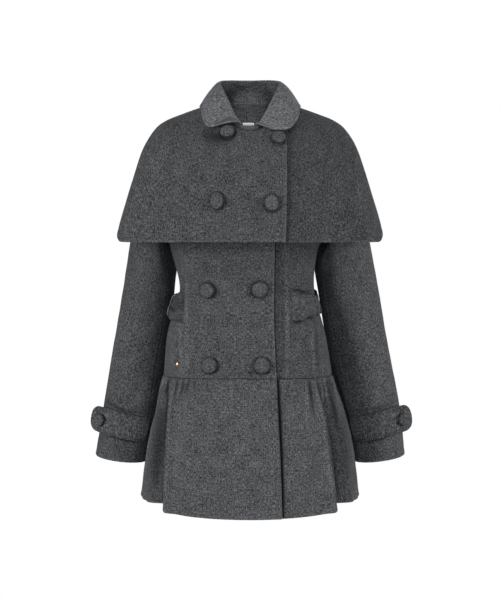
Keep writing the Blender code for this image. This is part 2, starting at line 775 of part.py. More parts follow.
def add_buttons(look, collection):
    for row in BUTTONS:
        button = dict(zip(BUTTON_COLUMNS.split(), row))
        on_cape = button["on"] == "cape"
        surface, last, lap = (cape, 7.0, CAPE_LAP) if on_cape else (body, 8.0, LAP)
        spot = spot_on(surface, button["x"], button["z"], last)
        out = normal(surface, *spot)
        foot = surface(*spot) + out * (lap + BUTTON_CLEAR)
        turned(button["name"], button_profile(), look, collection, foot, out)


def add_stud(look, collection):
    spot = spot_on(body, STUD_X, STUD_Z, 8.0)
    out = normal(body, *spot)
    profile = [
        (0, STUD_HEIGHT), (0.5 * STUD_RADIUS, STUD_HEIGHT - 0.25),
        (0.85 * STUD_RADIUS, STUD_HEIGHT - 0.9), (STUD_RADIUS, 0.9), (STUD_RADIUS, 0), (0, 0),
    ]
    turned("front_stud", profile, look, collection, body(*spot) + out * SEAM_GAP, out, 10)


# ---------------------------------------------------------------- cuff straps

def strap_lift(turn):
    """The strap lies on the sleeve's front, and its end stands off at the outer side."""
    away = max((STRAP_BEND - turn) / (STRAP_BEND - STRAP_TIP), 0)
    return (STRAP_CLEAR + STRAP_STAND_OFF * away ** 1.35) * MM


def strap_middle(side):
    """The place on the sleeve at half the strap's height."""
    length = np.linalg.norm(sleeve(side, 90, SLEEVE_END) - sleeve(side, 90, SLEEVE_END - 1))
    return SLEEVE_END - (STRAP_FOOT + STRAP_HEIGHT / 2) * MM / length, STRAP_HEIGHT / 2 * MM / length


def add_strap(side, look, button_look, collection):
    middle, half = strap_middle(side)
    flip = 1 if side == "right" else -1

    def surface(turn, place):
        return sleeve(side, turn * flip, place)

    turns = np.concatenate([np.linspace(STRAP_START, STRAP_TIP + 20, 12)[:-1],
                            STRAP_TIP + 20 * np.cos(np.linspace(0, math.pi / 2, 6))])
    ends = (turns - STRAP_TIP) / 20
    share = np.sqrt(1 - np.clip(1 - ends, 0, 0.985) ** 2.4)
    across = np.linspace(-1, 1, 5)
    spots = [
        [(turn * flip, middle + half * s * h) for turn, h in zip(turns, share)] for s in across
    ]
    panel(
        f"cuff_strap_{side}", surface, spots, look, collection,
        lift=lambda j, i: strap_lift(turns[i]),
    )
    turn = STRAP_BUTTON_ANGLE
    point = surface(turn * flip, middle) + normal(surface, turn * flip, middle) * strap_lift(turn)

    def strap_line(at):
        return surface(at * flip, middle) + normal(surface, at * flip, middle) * strap_lift(at)

    run = unit(strap_line(turn + 4) - strap_line(turn - 4))
    out = normal(surface, turn * flip, middle)
    out = unit(out - run * np.dot(out, run))
    turned(
        f"cuff_button_{side}", button_profile(CUFF_BUTTON_SCALE), button_look, collection,
        point + out * 0.4 * MM, out,
    )


# ---------------------------------------------------------------- belt

def belt_place(height):
    """The place on the body at this height, below the underarm."""
    return solve(lambda place: BODY_ROWS.at(place)["z_side"], height, UNDERARM, LOW_WAIST)


def pinch(angle):
    """1 where a keeper gathers the belt, and 0 away from both."""
    near = min(abs(angle - KEEPER_LEFT), abs(angle - KEEPER_RIGHT))
    return bell(near / PINCH_SPREAD)


def belt_puff(angle):
    """The belt stands off beside each keeper and lies close under it."""
    near = min(abs(angle - KEEPER_LEFT), abs(angle - KEEPER_RIGHT))
    return BELT_CLEAR + BELT_PUFF * (bell((near - 13) / 9) + 0.4 * bell(near / 6))


def add_belt(look, collection):
    start = angle_at_x(body, belt_place(BELT_Z), BODY_ROWS.at(6.3)["princess_left"])
    end = 360 + angle_at_x(body, belt_place(BELT_Z), BODY_ROWS.at(6.3)["princess_right"])
    fine = np.arange(start, end, 5.5)
    angles = np.append(fine[:-1], end)
    spots = []
    for s in np.linspace(1, -1, 4):
        line = []
        for angle in angles:
            height = mix(BELT_HEIGHT, BELT_PINCHED, pinch(angle))
            line.append((angle, belt_place(BELT_Z + s * height / 2)))
        spots.append(line)
    panel(
        "waist_belt", body, spots, look, collection,
        lift=lambda j, i: belt_puff(angles[i]) * MM,
    )
    for side, at in (("right", KEEPER_RIGHT), ("left", KEEPER_LEFT)):
        reach = math.degrees(KEEPER_WIDTH / 2 / BODY[6][1])
        lifts = [4.0, 8.2, 12.4, 13.4, 12.4, 8.2, 4.0]
        heights = [0.5, 0.49, 0.36, 0, -0.36, -0.49, -0.5]
        spots = [
            [(at + turn, belt_place(BELT_Z + KEEPER_HEIGHT * h)) for turn in (-reach, 0, reach)]
            for h in heights
        ]
        panel(
            f"belt_keeper_{side}", body, spots, look, collection,
            lift=lambda j, i, lifts=lifts: lifts[j] * MM,
        )


# ---------------------------------------------------------------- label

def add_label(look, collection):
    """A bare woven label on the inside of the back neck."""
    def inner(angle, place):
        return body(angle, place) - normal(body, angle, place) * (WALL + LABEL_CLEAR)

    top = solve(lambda p: body(180, p)[2], LABEL_TOP * MM, 0.2, 3)
    foot = solve(lambda p: body(180, p)[2], LABEL_BOTTOM * MM, 0.2, 3)
    start = angle_at_x(body, (top + foot) / 2, LABEL_WIDTH / 2, back=True)
    angles = np.linspace(start, 360 - start, 5)
    spots = [[(angle, place) for angle in angles] for place in np.linspace(top, foot, 3)]
    panel("neck_label", inner, spots, look, collection, wall=LABEL_WALL * MM)


# ---------------------------------------------------------------- the whole coat

def clear_scene():
    for old in list(bpy.data.objects):
        bpy.data.objects.remove(old, do_unlink=True)


def main():
    clear_scene()
    coat = bpy.data.collections.new("wool_cape_coat")
    bpy.context.scene.collection.children.link(coat)
    wool = material("charcoal_wool", WOOL, 0.95)
    button = material("covered_button", WOOL_BUTTON, 0.95)
    brass = material("brass", BRASS, 0.3, 1.0)
    label = material("label_white", LABEL, 0.8)
    add_body(wool, coat)
    add_skirt(wool, coat)
    for side in ("right", "left"):
        add_sleeve(side, wool, coat)
        add_strap(side, wool, button, coat)
    add_cape(wool, coat)
    add_collar(wool, coat)
    add_belt(wool, coat)
    add_buttons(button, coat)
    add_stud(brass, coat)
    add_label(label, coat)


main()
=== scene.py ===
# %% [markdown]
# # A wool cape coat
# A short double-breasted coat of charcoal melange wool: a bodice with princess seams, a gathered
# skirt, two-part sleeves, an elbow cape and a turned-down collar. It stands filled out, as on its
# wearer. Each cloth piece is made as a tailor cuts it: one thin wall for each cut piece, on a
# smooth form that is read from a table of sizes, with listed folds on top.
# +Z is up, the front faces -Y and the wearer's left is +X. Tables are in millimetres and degrees.

import math

import bpy
import numpy as np
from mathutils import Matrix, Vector


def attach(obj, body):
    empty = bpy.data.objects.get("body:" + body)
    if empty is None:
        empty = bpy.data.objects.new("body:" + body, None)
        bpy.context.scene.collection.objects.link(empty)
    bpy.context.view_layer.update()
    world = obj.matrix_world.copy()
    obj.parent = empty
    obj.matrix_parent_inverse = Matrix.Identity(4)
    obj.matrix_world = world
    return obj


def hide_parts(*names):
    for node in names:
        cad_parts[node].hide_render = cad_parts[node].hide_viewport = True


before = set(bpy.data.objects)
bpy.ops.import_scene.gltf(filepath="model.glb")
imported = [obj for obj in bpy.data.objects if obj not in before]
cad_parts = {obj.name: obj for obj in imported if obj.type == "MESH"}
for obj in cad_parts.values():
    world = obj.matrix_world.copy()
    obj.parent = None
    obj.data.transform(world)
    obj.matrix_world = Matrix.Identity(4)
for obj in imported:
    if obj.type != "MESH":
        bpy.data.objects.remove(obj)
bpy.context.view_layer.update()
MM = 0.001
print("nodes in the frame:", len(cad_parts))

# %% [markdown]
# ## Reading a table of sizes
# A garment's shape is a few measured rings. A cubic curve through the rows gives every height in
# between, with no kink at a row. The same rows shape the solids, so a piece made here lies within
# a few millimetres of its solid. Everything works on whole arrays of angles and places at once.

# %% Smooth tables
def bridge(start, away, end, run, t):
    """A cubic curve from start to end. away and run are its slopes there, and t is 0 to 1."""
    return (
        start * (1 + 2 * t) * (1 - t) ** 2
        + away * t * (1 - t) ** 2
        + end * t * t * (3 - 2 * t)
        + run * t * t * (t - 1)
    )


class Rows:
    """A table whose named columns can be read at any place, on a smooth curve through its rows."""

    def __init__(self, columns, rows):
        self.columns = columns.split()[1:]
        rows = np.array(rows, float)
        self.places, self.values = rows[:, 0], rows[:, 1:]
        step = np.diff(self.places)[:, None]
        slope = np.diff(self.values, axis=0) / step
        inner = (slope[:-1] * step[1:] + slope[1:] * step[:-1]) / (step[1:] + step[:-1])
        self.slopes = np.vstack([slope[:1], inner, slope[-1:]])

    def at(self, place):
        """A dictionary of the columns at these places. Past an end the curve runs on straight."""
        place = np.asarray(place, float)
        inside = np.clip(place, self.places[0], self.places[-1])
        row = np.clip(np.searchsorted(self.places, inside, "right") - 1, 0, len(self.places) - 2)
        step = (self.places[row + 1] - self.places[row])[..., None]
        t = (inside - self.places[row])[..., None] / step
        slopes = self.slopes[row] * step, self.slopes[row + 1] * step
        value = bridge(self.values[row], slopes[0], self.values[row + 1], slopes[1], t)
        end = np.where((place < inside)[..., None], self.slopes[0], self.slopes[-1])
        value = value + end * (place - inside)[..., None]
        return dict(zip(self.columns, np.moveaxis(value, -1, 0)))

# %% Small helpers
def mix(low, high, share):
    return low + (high - low) * share


def ease(x):
    """0 below 0, 1 above 1, and a smooth step between."""
    x = np.clip(x, 0.0, 1.0)
    return x * x * (3 - 2 * x)


def bell(x):
    return np.exp(-np.square(x))


def unit(vectors):
    return vectors / np.maximum(np.linalg.norm(vectors, axis=-1, keepdims=True), 1e-12)


def points(x, y, z):
    return np.stack(np.broadcast_arrays(x, y, z), axis=-1) * MM


def solve(function, target, low, high, steps=34):
    """Where a function that only rises or only falls between low and high reaches target."""
    shape = np.shape(target)
    low, high = np.full(shape, float(low)), np.full(shape, float(high))
    rising = function(high) > function(low)
    for _ in range(steps):
        middle = (low + high) / 2
        below = (function(middle) < target) == rising
        low, high = np.where(below, middle, low), np.where(below, high, middle)
    return (low + high) / 2

# %% [markdown]
# ## The coat's measures
# Each row is one ring round the body, from the neck seam down: half its width, its reach to the
# front and back, how square it is, how far it is shifted to the wearer's left, and its height at
# the front, side and back. The last columns say how far from the middle the seams and the two
# front edges run. The skirt, the cape and the sleeves have tables of their own.

# %% Tables of the body and skirt
BODY = Rows(
    "place half_width front back squareness shift z_front z_side z_back "
    "princess_right under_edge lap_edge princess_left",
    [
        (0, 64, 86, 62, 0.00, 0, -51, 2, 10, -42, -20, 22, 44),
        (1, 116, 95, 82, 0.02, 0, -76, -18, -16, -74, -44, 38, 66),
        (2, 166, 100, 95, 0.04, 0, -104, -48, -52, -94, -58, 44, 76),
        (3, 160, 108, 102, 0.05, -1, -150, -130, -132, -102, -68, 43, 70),
        (4, 147, 112, 102, 0.04, -5, -212, -212, -212, -108, -78, 42, 65),
        (5, 131, 107, 95, 0.03, -10, -258, -258, -258, -113, -86, 41, 64),
        (6, 120.5, 97, 84, 0.02, -5.5, -328, -328, -328, -112, -93, 40.5, 69),
        (7, 140.6, 108, 99, 0.02, -7, -400, -400, -400, -117, -90, 41, 69.5),
        (8, 151.3, 116, 110, 0.02, -4, -474, -479, -478, -123, -94, 44.5, 71),
    ],
)
SKIRT = Rows(
    "place half_width front back squareness shift z_front z_side z_back fold "
    "fold_right under_edge lap_edge fold_left",
    [
        (0, 151.3, 116, 110, 0.02, -4, -474.9, -479.4, -478.4, 0.00, -141, -94, 44.5, 112),
        (1, 158.5, 122, 121, 0.02, -4, -503, -505, -504, 0.32, -140, -94, 46, 120),
        (2, 169, 131, 131, 0.02, -1, -545, -545, -545, 0.64, -144, -94, 48, 130),
        (3, 184, 141, 140, 0.02, 0, -612, -612, -612, 0.92, -148, -95, 51, 142),
        (4, 195, 152, 148, 0.02, 0, -710, -702.5, -709, 1.00, -150, -96, 54, 151),
    ],
)
print("rings:", len(BODY.places), "body,", len(SKIRT.places), "skirt")

# %% Table of the cape
CAPE = Rows(
    "place half_width front back squareness z_front z_side z_back corner under_edge lap_edge",
    [
        (0, 67.3, 93.5, 65.4, 0.00, -51, 5, 13, 0, -46, 42),
        (1, 117, 108, 93, 0.02, -84, -12.5, -11, 0, -78, 61),
        (2, 150, 117, 107, 0.04, -109, -26, -34, 0, -79, 62),
        (3, 171, 123, 115, 0.05, -128, -43, -56, 0, -80, 62),
        (4, 191, 128, 123, 0.06, -154, -76, -92, 0, -80, 61.5),
        (5, 209.5, 133, 130, 0.06, -186, -131, -141, 0, -80, 61),
        (6, 230.5, 139, 136, 0.06, -222, -198, -204, 0.2, -80, 60),
        (7, 237.5, 143, 139, 0.06, -239, -226, -240, 1, -80, 59),
    ],
)
print("rings:", len(CAPE.places), "cape")

# %% Tables of the sleeves
SLEEVE_COLUMNS = "place outer outer_z inner inner_z y_middle half_depth tuck swing"
SLEEVES = {
    "right": Rows(SLEEVE_COLUMNS, [
        (1, 176, -66, 160, -224, 3, 58, 0, 0),
        (2, 189, -94, 157, -242, 9, 60, 12, 14),
        (3, 204, -152, 148, -280, 20, 58, 14.5, 12),
        (4, 218, -243, 138, -322, 32, 54, 1, 2),
        (5, 233, -331, 146, -392, 44, 50, 2, 2),
        (6, 254, -448, 162, -478, 50, 47, 9, 5),
        (7, 271, -547, 174, -564, 52, 46, 3, 0),
        (8, 285.5, -634, 191, -646, 50, 46, 0, 0),
    ]),
    "left": Rows(SLEEVE_COLUMNS, [
        (1, 176, -66, 157, -224, 3, 58, 0, 0),
        (2, 189, -94, 145, -244, 10, 60, 19, 16),
        (3, 204, -152, 123, -280, 22, 58, 6, 12),
        (4, 218, -242, 122.5, -322, 34, 55, 0, 2),
        (5, 235, -326, 135, -396, 44, 50, 0, 0),
        (6, 256, -440, 157, -474, 51, 47, 11, 5),
        (7, 277, -547, 172, -566, 52, 46, 2, 0),
        (8, 286, -633, 191, -646, 50, 46, 0, 0),
    ]),
}
TUCK_TURN, TUCK_SPREAD = 194, 30
SIDE_SIGN = {"right": -1, "left": 1}
print("rings:", {side: len(rows.places) for side, rows in SLEEVES.items()})

# %% Sizes that several pieces share
WALL = 2.5                 # thickness of the coating
SEAM_GAP = 0.12            # left between two pieces that are sewn together
LAP, CAPE_LAP = 3.5, 3.6   # how far the lapping fronts lie off what is under them
LAP_LEAD = 3.0             # degrees before the piece under it where a front is fully lifted
SHOULDER_TIP, UNDERARM = 2, 4
ARMHOLE_REACH = 34         # degrees that the armhole takes to each side of the side line
ARMHOLE_CLEAR = 0.75
HEM_CORNER = 0.45          # cosine at which the cape's hem has come down from its side corner
HEM_RISE, HEM_RISE_AT, HEM_RISE_WIDTH = 5, 66, 13    # the skirt's hem lifts a little here
SLEEVE_HEAD = 8            # how strongly the sleeve's head swells out at the armhole
SLEEVE_END = 8
print("wall of cloth:", WALL, "mm, laps:", LAP, "and", CAPE_LAP, "mm")

# %% [markdown]
# ## The forms
# A form is a function that gives a point for each angle and place. Body, cape and skirt are ovals
# whose height may dip to the front and back. An angle is 0 at the front, 90 at the wearer's left
# and 180 at the back. A place is a row's number.

# %% Ovals
def oval(angle, row, z):
    a = np.radians(angle)
    square = row["squareness"]
    across = (np.sin(a) + square * np.sin(3 * a)) / (1 - square)
    along = (np.cos(a) - square * np.cos(3 * a)) / (1 - square)
    reach = np.where(along > 0, row["front"], row["back"])
    return points(row.get("shift", 0) + row["half_width"] * across, -reach * along, z)


def tilted_z(angle, row):
    """The height on a ring that dips or rises towards its front and back."""
    c = np.cos(np.radians(angle))
    end = np.where(c > 0, row["z_front"], row["z_back"])
    share = mix(c * c, ease(np.abs(c) / HEM_CORNER), row.get("corner", 0))
    return row["z_side"] + (end - row["z_side"]) * share


def form_of(rows):
    """The form that a table of rings describes."""
    def surface(angle, place):
        row = rows.at(place)
        return oval(angle, row, tilted_z(angle, row))

    return surface


body, cape, plain_skirt = form_of(BODY), form_of(CAPE), form_of(SKIRT)


def normal(surface, angle, place, degrees=0.5, step=0.02):
    """The surface's outward direction, across which the wall gets its thickness."""
    across = surface(angle + degrees, place) - surface(angle - degrees, place)
    down = surface(angle, place + step) - surface(angle, place - step)
    return unit(np.cross(down, across))


def angle_at_x(surface, place, x, back=False):
    """The angle at which a surface's ring passes this x, across its front or its back."""
    low, high = (91, 269) if back else (-89, 89)
    place, x = np.broadcast_arrays(np.asarray(place, float), np.asarray(x, float))
    return solve(lambda angle: surface(angle, place)[..., 0], x * MM, low, high)


def line_on(surface, rows, column):
    """The angle of a named seam or edge, as a function of the place."""
    return lambda place: angle_at_x(surface, place, rows.at(place)[column])


ring = body(np.arange(361.0), np.full(361, float(UNDERARM)))
girth = np.linalg.norm(np.diff(ring, axis=0), axis=1).sum()
print("round the body at the underarm:", round(girth / MM), "mm")

# %% [markdown]
# ## The skirt's gathers
# The skirt is cut wider than the waist and gathered into it. The cloth falls in one deep fold at
# each front side and in rounded, uneven ones behind it. A cloth simulation could find such folds,
# but their places would be left to chance. Here each gather is a soft bell of its own depth and
# width, given in a list, and all of them grow from nothing at the seam to the hem.

# %% Gathers
FOLD_PLACES = np.linspace(-0.2, SKIRT.places[-1] + 0.2, 23)
FOLDS = {
    side: angle_at_x(plain_skirt, FOLD_PLACES, SKIRT.at(FOLD_PLACES)[f"fold_{side}"])
    for side in SIDE_SIGN
}
GATHERS = [                # degrees past the front fold at the hem, depth out, half width
    (-2.5, 8, 4.5), (8.5, -36, 6.0), (17, 2, 5.0), (25, -1.5, 4.0), (33, 0.5, 3.2),
    (38.5, -0.5, 2.8), (46, 4, 6.0), (55, -6, 4.0), (61, 8, 4.2), (70, -6, 3.8), (80, 6, 4.0),
    (89, -7, 4.0), (99, 8, 4.4), (109, -6, 4.2), (119, 6, 4.0), (127, -5, 3.6),
]


def past_fold(angle, place, side):
    """Degrees past a side's front fold, measured as at the hem."""
    sign = SIDE_SIGN[side]
    around = (angle + 180) % 360 - 180
    start = np.interp(place, FOLD_PLACES, FOLDS[side])
    squeeze = (180 - sign * start) / (180 - sign * FOLDS[side][-2])
    past = sign * (around - start)
    return np.where(sign * around < -90, past + 360, past) / squeeze


def skirt_wave(angle, place):
    total = 0.0
    for side in SIDE_SIGN:
        past = past_fold(angle, place, side)
        for after, depth, spread in GATHERS:
            total = total + depth * bell((past - after) / spread)
    return total


def skirt(angle, place):
    a, down = np.radians(angle), np.maximum(place, 0.0)
    wave = skirt_wave(angle, place) * SKIRT.at(down)["fold"]
    around = np.abs((np.asarray(angle) + 180) % 360 - 180)
    near = bell((around - HEM_RISE_AT) / HEM_RISE_WIDTH)
    rise = HEM_RISE * near * (down / SKIRT.places[-1]) ** 2
    return plain_skirt(angle, place) + points(np.sin(a) * wave, -np.cos(a) * wave, rise)


print("gathers on each side:", len(GATHERS))

# %% [markdown]
# ## The sleeves' form
# A sleeve is a ring round a line from the shoulder to the hand, and its head is set into the
# armhole, which is a curve on the body. A cubic curve bridges from the armhole's seam to the first
# ring, so the head swells out over the shoulder as an eased-in sleeve head does.

# %% Sleeve form
def sleeve_ring(side, turn, place):
    """A point on a sleeve below its armhole. turn is 0 at the outer edge and 90 at the front."""
    row = SLEEVES[side].at(place)
    sign = SIDE_SIGN[side]
    t = np.radians(turn)
    outer = points(sign * row["outer"], row["y_middle"], row["outer_z"])
    inner = points(sign * row["inner"], row["y_middle"], row["inner_z"])
    deep = points(0, -row["half_depth"] * np.sin(t), 0)
    near = bell(((turn - TUCK_TURN + 180) % 360 - 180) / TUCK_SPREAD)
    tuck = points(-sign * row["tuck"] * near, row["swing"] * near, 0)
    return (outer + inner) / 2 + (outer - inner) / 2 * np.cos(t)[..., None] + deep + tuck


def armhole(side, turn):
    """The armhole's seam, a little clear of the body."""
    t = np.radians(turn)
    place = mix(SHOULDER_TIP, UNDERARM, (1 - np.cos(t)) / 2)
    angle = SIDE_SIGN[side] * (90 - ARMHOLE_REACH * np.sin(t))
    return body(angle, place) + normal(body, angle, place) * ARMHOLE_CLEAR * MM


def sleeve(side, turn, place):
    """The sleeve from its armhole seam (place 0) to its hem."""
    turn, place = np.broadcast_arrays(np.asarray(turn, float), np.asarray(place, float))
    below = sleeve_ring(side, turn, np.maximum(place, 1))
    start, end = armhole(side, turn), sleeve_ring(side, turn, np.ones_like(place))
    run = sleeve_ring(side, turn, np.full_like(place, 1.5)) - end
    away = points(SIDE_SIGN[side] * SLEEVE_HEAD * np.abs(np.cos(np.radians(turn / 2))), 0, 0)
    above = bridge(start, away, end, run, np.minimum(place, 1)[..., None])
    return np.where((place >= 1)[..., None], below, above)


def sleeve_form(side):
    """The sleeve with its turn running so that the surface faces out on both sides."""
    return lambda turn, place: sleeve(side, np.asarray(turn) * -SIDE_SIGN[side], place)


hems = {side: sleeve(side, 0, SLEEVE_END)[2] for side in SIDE_SIGN}
print("height of each hem's outer edge:", {side: round(z / MM) for side, z in hems.items()}, "mm")

# %% [markdown]
# ## Where the buttons sit
# The coat's eight front buttons stand in two rows. Their places come before the cloth, because a
# shadow ring round each button is painted into the cloth under it.

# %% Places of the buttons
BUTTONS = [                # name, what carries it, x, z, width, height, degrees it is turned
    ("button_neck_right", "cape", -38, -54.5, 0.95, 0.9, 0),
    ("button_neck_left", "cape", 48.5, -64.5, 0.92, 0.88, 0),
    ("button_cape_right", "cape", -55, -170.5, 0.86, 1.12, -8),
    ("button_cape_left", "cape", 36, -174, 0.92, 1.10, 6),
    ("button_waist_right", "body", -71.5, -323, 1.02, 1.0, 0),
    ("button_waist_left", "body", 16, -321, 1.04, 1.02, 0),
    ("button_hip_right", "body", -68, -452, 1.02, 1.02, 0),
    ("button_hip_left", "body", 19.5, -451.5, 1.04, 1.04, 0),
]
# each front and cuff button gets a painted shadow ring on the cloth round it
BUTTON_SHADOW_RINGS = [button[2:6] for button in BUTTONS]        # x, z and how wide and tall each ring is
BUTTON_SHADOW_RINGS += [(-273.6, -556, 0.52, 0.90), (276.3, -557, 0.82, 0.88)]     # the two cuff buttons
print("buttons on the front:", len(BUTTONS))

# %% [markdown]
# ## Folds by hand
# Heavy wool makes few, soft folds, and no two are alike. Each one here is a short curved line on
# the form with its own depth and width: a trough where the depth is negative, a ridge where it is
# positive. The fold fades out at both ends. A very faint unevenness goes over everything, because
# pressed wool is never a perfect surface.

# %% Creases
def along_path(path, apart):
    """Points on a smooth line through a crease's few named ones, this many millimetres apart."""
    path = np.array(path, float)
    count = 2 + int(np.linalg.norm(np.diff(path, axis=0), axis=1).sum() / apart)
    rows = Rows("t a b", np.column_stack([np.arange(len(path)), path]))
    t = np.linspace(0, len(path) - 1, count)
    line = rows.at(t)
    return np.column_stack([line["a"], line["b"]]), t / (len(path) - 1)


def creased(across, height, table):
    """How far a table's creases move each point out, or its painted light and shade. Both
    coordinates are in millimetres.
    """
    total = np.zeros(np.shape(across))
    for depth, width, path in table:
        line, t = along_path(path, 0.6 * width)
        low, high = line.min(axis=0) - 3 * width, line.max(axis=0) + 3 * width
        near = (across > low[0]) & (across < high[0]) & (height > low[1]) & (height < high[1])
        if not near.any():
            continue
        gap = np.stack([across[near], height[near]], axis=-1)[:, None, :] - line
        gap = np.square(gap).sum(axis=-1)
        closest = gap.argmin(axis=1)
        fade = np.sin(np.pi * np.clip(0.06 + 0.88 * t[closest], 0, 1)) ** 0.8
        total[near] += depth * fade * np.exp(-gap[np.arange(len(gap)), closest] / width ** 2)
    return total


WAVES = 9
WAVE_WAYS = np.random.default_rng(7).normal(size=(WAVES, 3)) * [1, 1, 0.75]
WAVE_STARTS = np.random.default_rng(8).uniform(0, 2 * np.pi, WAVES)


def uneven(spots, size):
    """A slow, random waviness between -1 and 1, with waves about this many millimetres long."""
    turns = spots / MM @ WAVE_WAYS.T * (2 * np.pi / size / 1.6) + WAVE_STARTS
    return np.sin(turns).mean(axis=-1) * 1.8


print("waves in the unevenness:", WAVES)

# %% [markdown]
# ## One wall of cloth
# A cut piece is a grid of points on its form, lifted by its folds. A second grid lies a cloth's
# thickness inside, and a rounded rim closes the wall, because the edge of thick wool is soft. A
# Solidify modifier could make the second side, but each edge is rounded or left flat on its own
# here, which is easier to say in numbers. The columns and rows are close together beside each edge:
# seams, hems and topstitching shape the cloth over a few millimetres there.

# %% Grids
EDGE_STEPS = [0, 0.8, 1.8, 3.0, 4.4, 6.2, 8.6, 11.6]     # millimetres in from an edge
STEP = 3.1                 # millimetres between the other columns and rows
LINE_POINTS, FINE_POINTS = 41, 161     # points at which a line's length is measured


def spaced(length, step=STEP, start=True, end=True):
    """Shares from 0 to 1 along a line: close together beside its edges, then evenly apart."""
    first = [d for d in EDGE_STEPS if d < length * 0.4] if start else [0]
    last = [length - d for d in EDGE_STEPS if d < length * 0.4][::-1] if end else [length]
    count = max(int(round((last[0] - first[-1]) / step)), 1)
    middle = np.linspace(first[-1], last[0], count + 1)[1:-1]
    return np.concatenate([first, middle, last]) / length


def run_length(grid, axis):
    """Millimetres run from the first point of each line of a grid."""
    step = np.linalg.norm(np.diff(grid, axis=axis), axis=-1) / MM
    total = np.cumsum(step, axis=axis)
    zero = np.zeros_like(np.take(total, [0], axis=axis))
    return np.concatenate([zero, total], axis=axis)


def rim_of(rows, columns):
    """The grid's outermost points in order: along the top, down the end, back and up."""
    top = [(0, i) for i in range(columns)]
    end = [(j, columns - 1) for j in range(1, rows)]
    foot = [(rows - 1, i) for i in range(columns - 2, -1, -1)]
    start = [(j, 0) for j in range(rows - 2, 0, -1)]
    return np.array(top + end + foot + start)


def spread(surface, start, end, places, step=STEP, through=None):
    """A grid of angles and places between two lines that run down a surface.

    through is a line in between, beside which the columns are close together too."""
    if through:
        before, _ = spread(surface, start, through, places, step)
        after, _ = spread(surface, through, end, places, step)
        angle = np.hstack([before, after[:, 1:]])
    else:
        first, last = start(places), end(places)
        row = len(places) * 2 // 3
        turns = mix(first[row], last[row], np.linspace(0, 1, LINE_POINTS))
        line = surface(turns, np.full(LINE_POINTS, places[row]))
        shares = spaced(run_length(line[None], 1)[0, -1], step)
        angle = mix(first[:, None], last[:, None], shares[None, :])
    return angle, np.broadcast_to(places[:, None], angle.shape).copy()


def places_down(surface, angle, last, step=STEP):
    """Places from 0 to last, spaced evenly in millimetres along one line of a surface."""
    fine = np.linspace(0, last, FINE_POINTS)
    run = run_length(surface(np.full(FINE_POINTS, float(angle)), fine)[None], 1)[0]
    return np.interp(spaced(run[-1], step) * run[-1], run, fine)


print("points across 300 mm of cloth:", len(spaced(300)))

# %% [markdown]
# Every piece gets two UV maps. "cloth" is in metres along the grain, so that the weave follows the
# cloth, and the second holds in its first number the painted light and shade of the colour.

# %% Meshes with two maps
def placed(name, data):
    """A new object in the scene for a mesh, a lamp or a camera."""
    made = bpy.data.objects.new(name, data)
    bpy.context.scene.collection.objects.link(made)
    return made


def add_maps(mesh, flat, nap):
    """The map "cloth" and the map of painted light and shade, from numbers for each of the mesh's
    points.
    """
    corners = np.empty(len(mesh.loops), np.int32)
    mesh.loops.foreach_get("vertex_index", corners)
    for name, values in (("cloth", flat), ("nap", np.column_stack([nap, 0 * nap]))):
        layer = mesh.uv_layers.new(name=name)
        layer.data.foreach_set("uv", values[corners].astype(np.float32).ravel())


def mesh_object(name, spots, faces, look, flat, nap):
    mesh = bpy.data.meshes.new(name)
    mesh.from_pydata(spots.tolist(), [], faces)
    add_maps(mesh, flat, nap)
    mesh.shade_smooth()
    mesh.materials.append(look)
    return placed(name, mesh)

# %% [markdown]
# Each side of a piece has a finish. A sewn side sinks into its seam, a princess seam stands up as
# a ridge, a hem is a soft roll, and a row of topstitching presses a groove beside the edge. Each of
# these is one or two bells across the edge.

# %% Edge finishes
SIDES = ("start", "end", "top", "foot")
EDGE_SHAPES = {            # height out, distance in from the edge and half width of each bell
    "sewn": [(-0.9, 0, 1.4), (0.4, 4.0, 2.4)],
    "ridge": [(-0.15, 0, 0.9), (0.75, 1.2, 2.6)],
    "hem": [(-0.25, 0, 1.5), (0.45, 4.0, 5.0)],
    "stitched": [(0.35, 2.6, 1.8), (-0.45, 6.0, 1.0)],
    "twice": [(0.3, 1.6, 1.4), (-0.4, 4.0, 0.8), (-0.4, 7.0, 0.8)],
    "plain": [], "shaded": [],
}
# painted along edges: a highlight along hems and collar edges, shade along belt and strap edges
EDGE_PAINTED_LIGHT = {"hem": 0.45, "stitched": 0.1, "shaded": -0.45, "twice": -0.4}     # paler or darker
IN_SEAM = ("sewn", "ridge")
ROUND_OUT, ROUND_IN = 0.32, 0.22     # shares of the wall by which a free edge is rounded
LINING_APART = [0.37, 0.21]          # metres between the weave outside and inside
print("ways to finish an edge:", *EDGE_SHAPES)

# %% Rims and faces
def close_rim(outside, inside, normals, wall, edges):
    """Rounds a wall's free edges, draws its sewn ones apart, and adds points half way between."""
    rows, columns = outside.shape[:2]
    j, i = rim_of(rows, columns).T
    sides = (
        (i == 0, (j, np.minimum(i + 1, columns - 1))),
        (i == columns - 1, (j, np.maximum(i - 1, 0))),
        (j == 0, (np.minimum(j + 1, rows - 1), i)),
        (j == rows - 1, (np.maximum(j - 1, 0), i)),
    )
    outward, free = np.zeros((len(j), 3)), np.zeros(len(j), bool)
    for side, (on, inner) in zip(SIDES, sides):
        outward += np.where(on[:, None], unit(outside[j, i] - outside[inner]), 0)
        free |= on & (edges[side] not in IN_SEAM)
    outward = unit(outward)
    bulge = np.where(free, ROUND_OUT * wall[j, i], -SEAM_GAP / 2)[:, None] * MM
    middle = (outside[j, i] + inside[j, i]) / 2 + outward * bulge
    soft = np.where(free, ROUND_IN * wall[j, i], 0.0)[:, None] * MM
    apart = outward * np.where(free, 0, SEAM_GAP / 2)[:, None] * MM
    outside[j, i] += -normals[j, i] * soft - apart
    inside[j, i] += normals[j, i] * soft - apart
    return middle


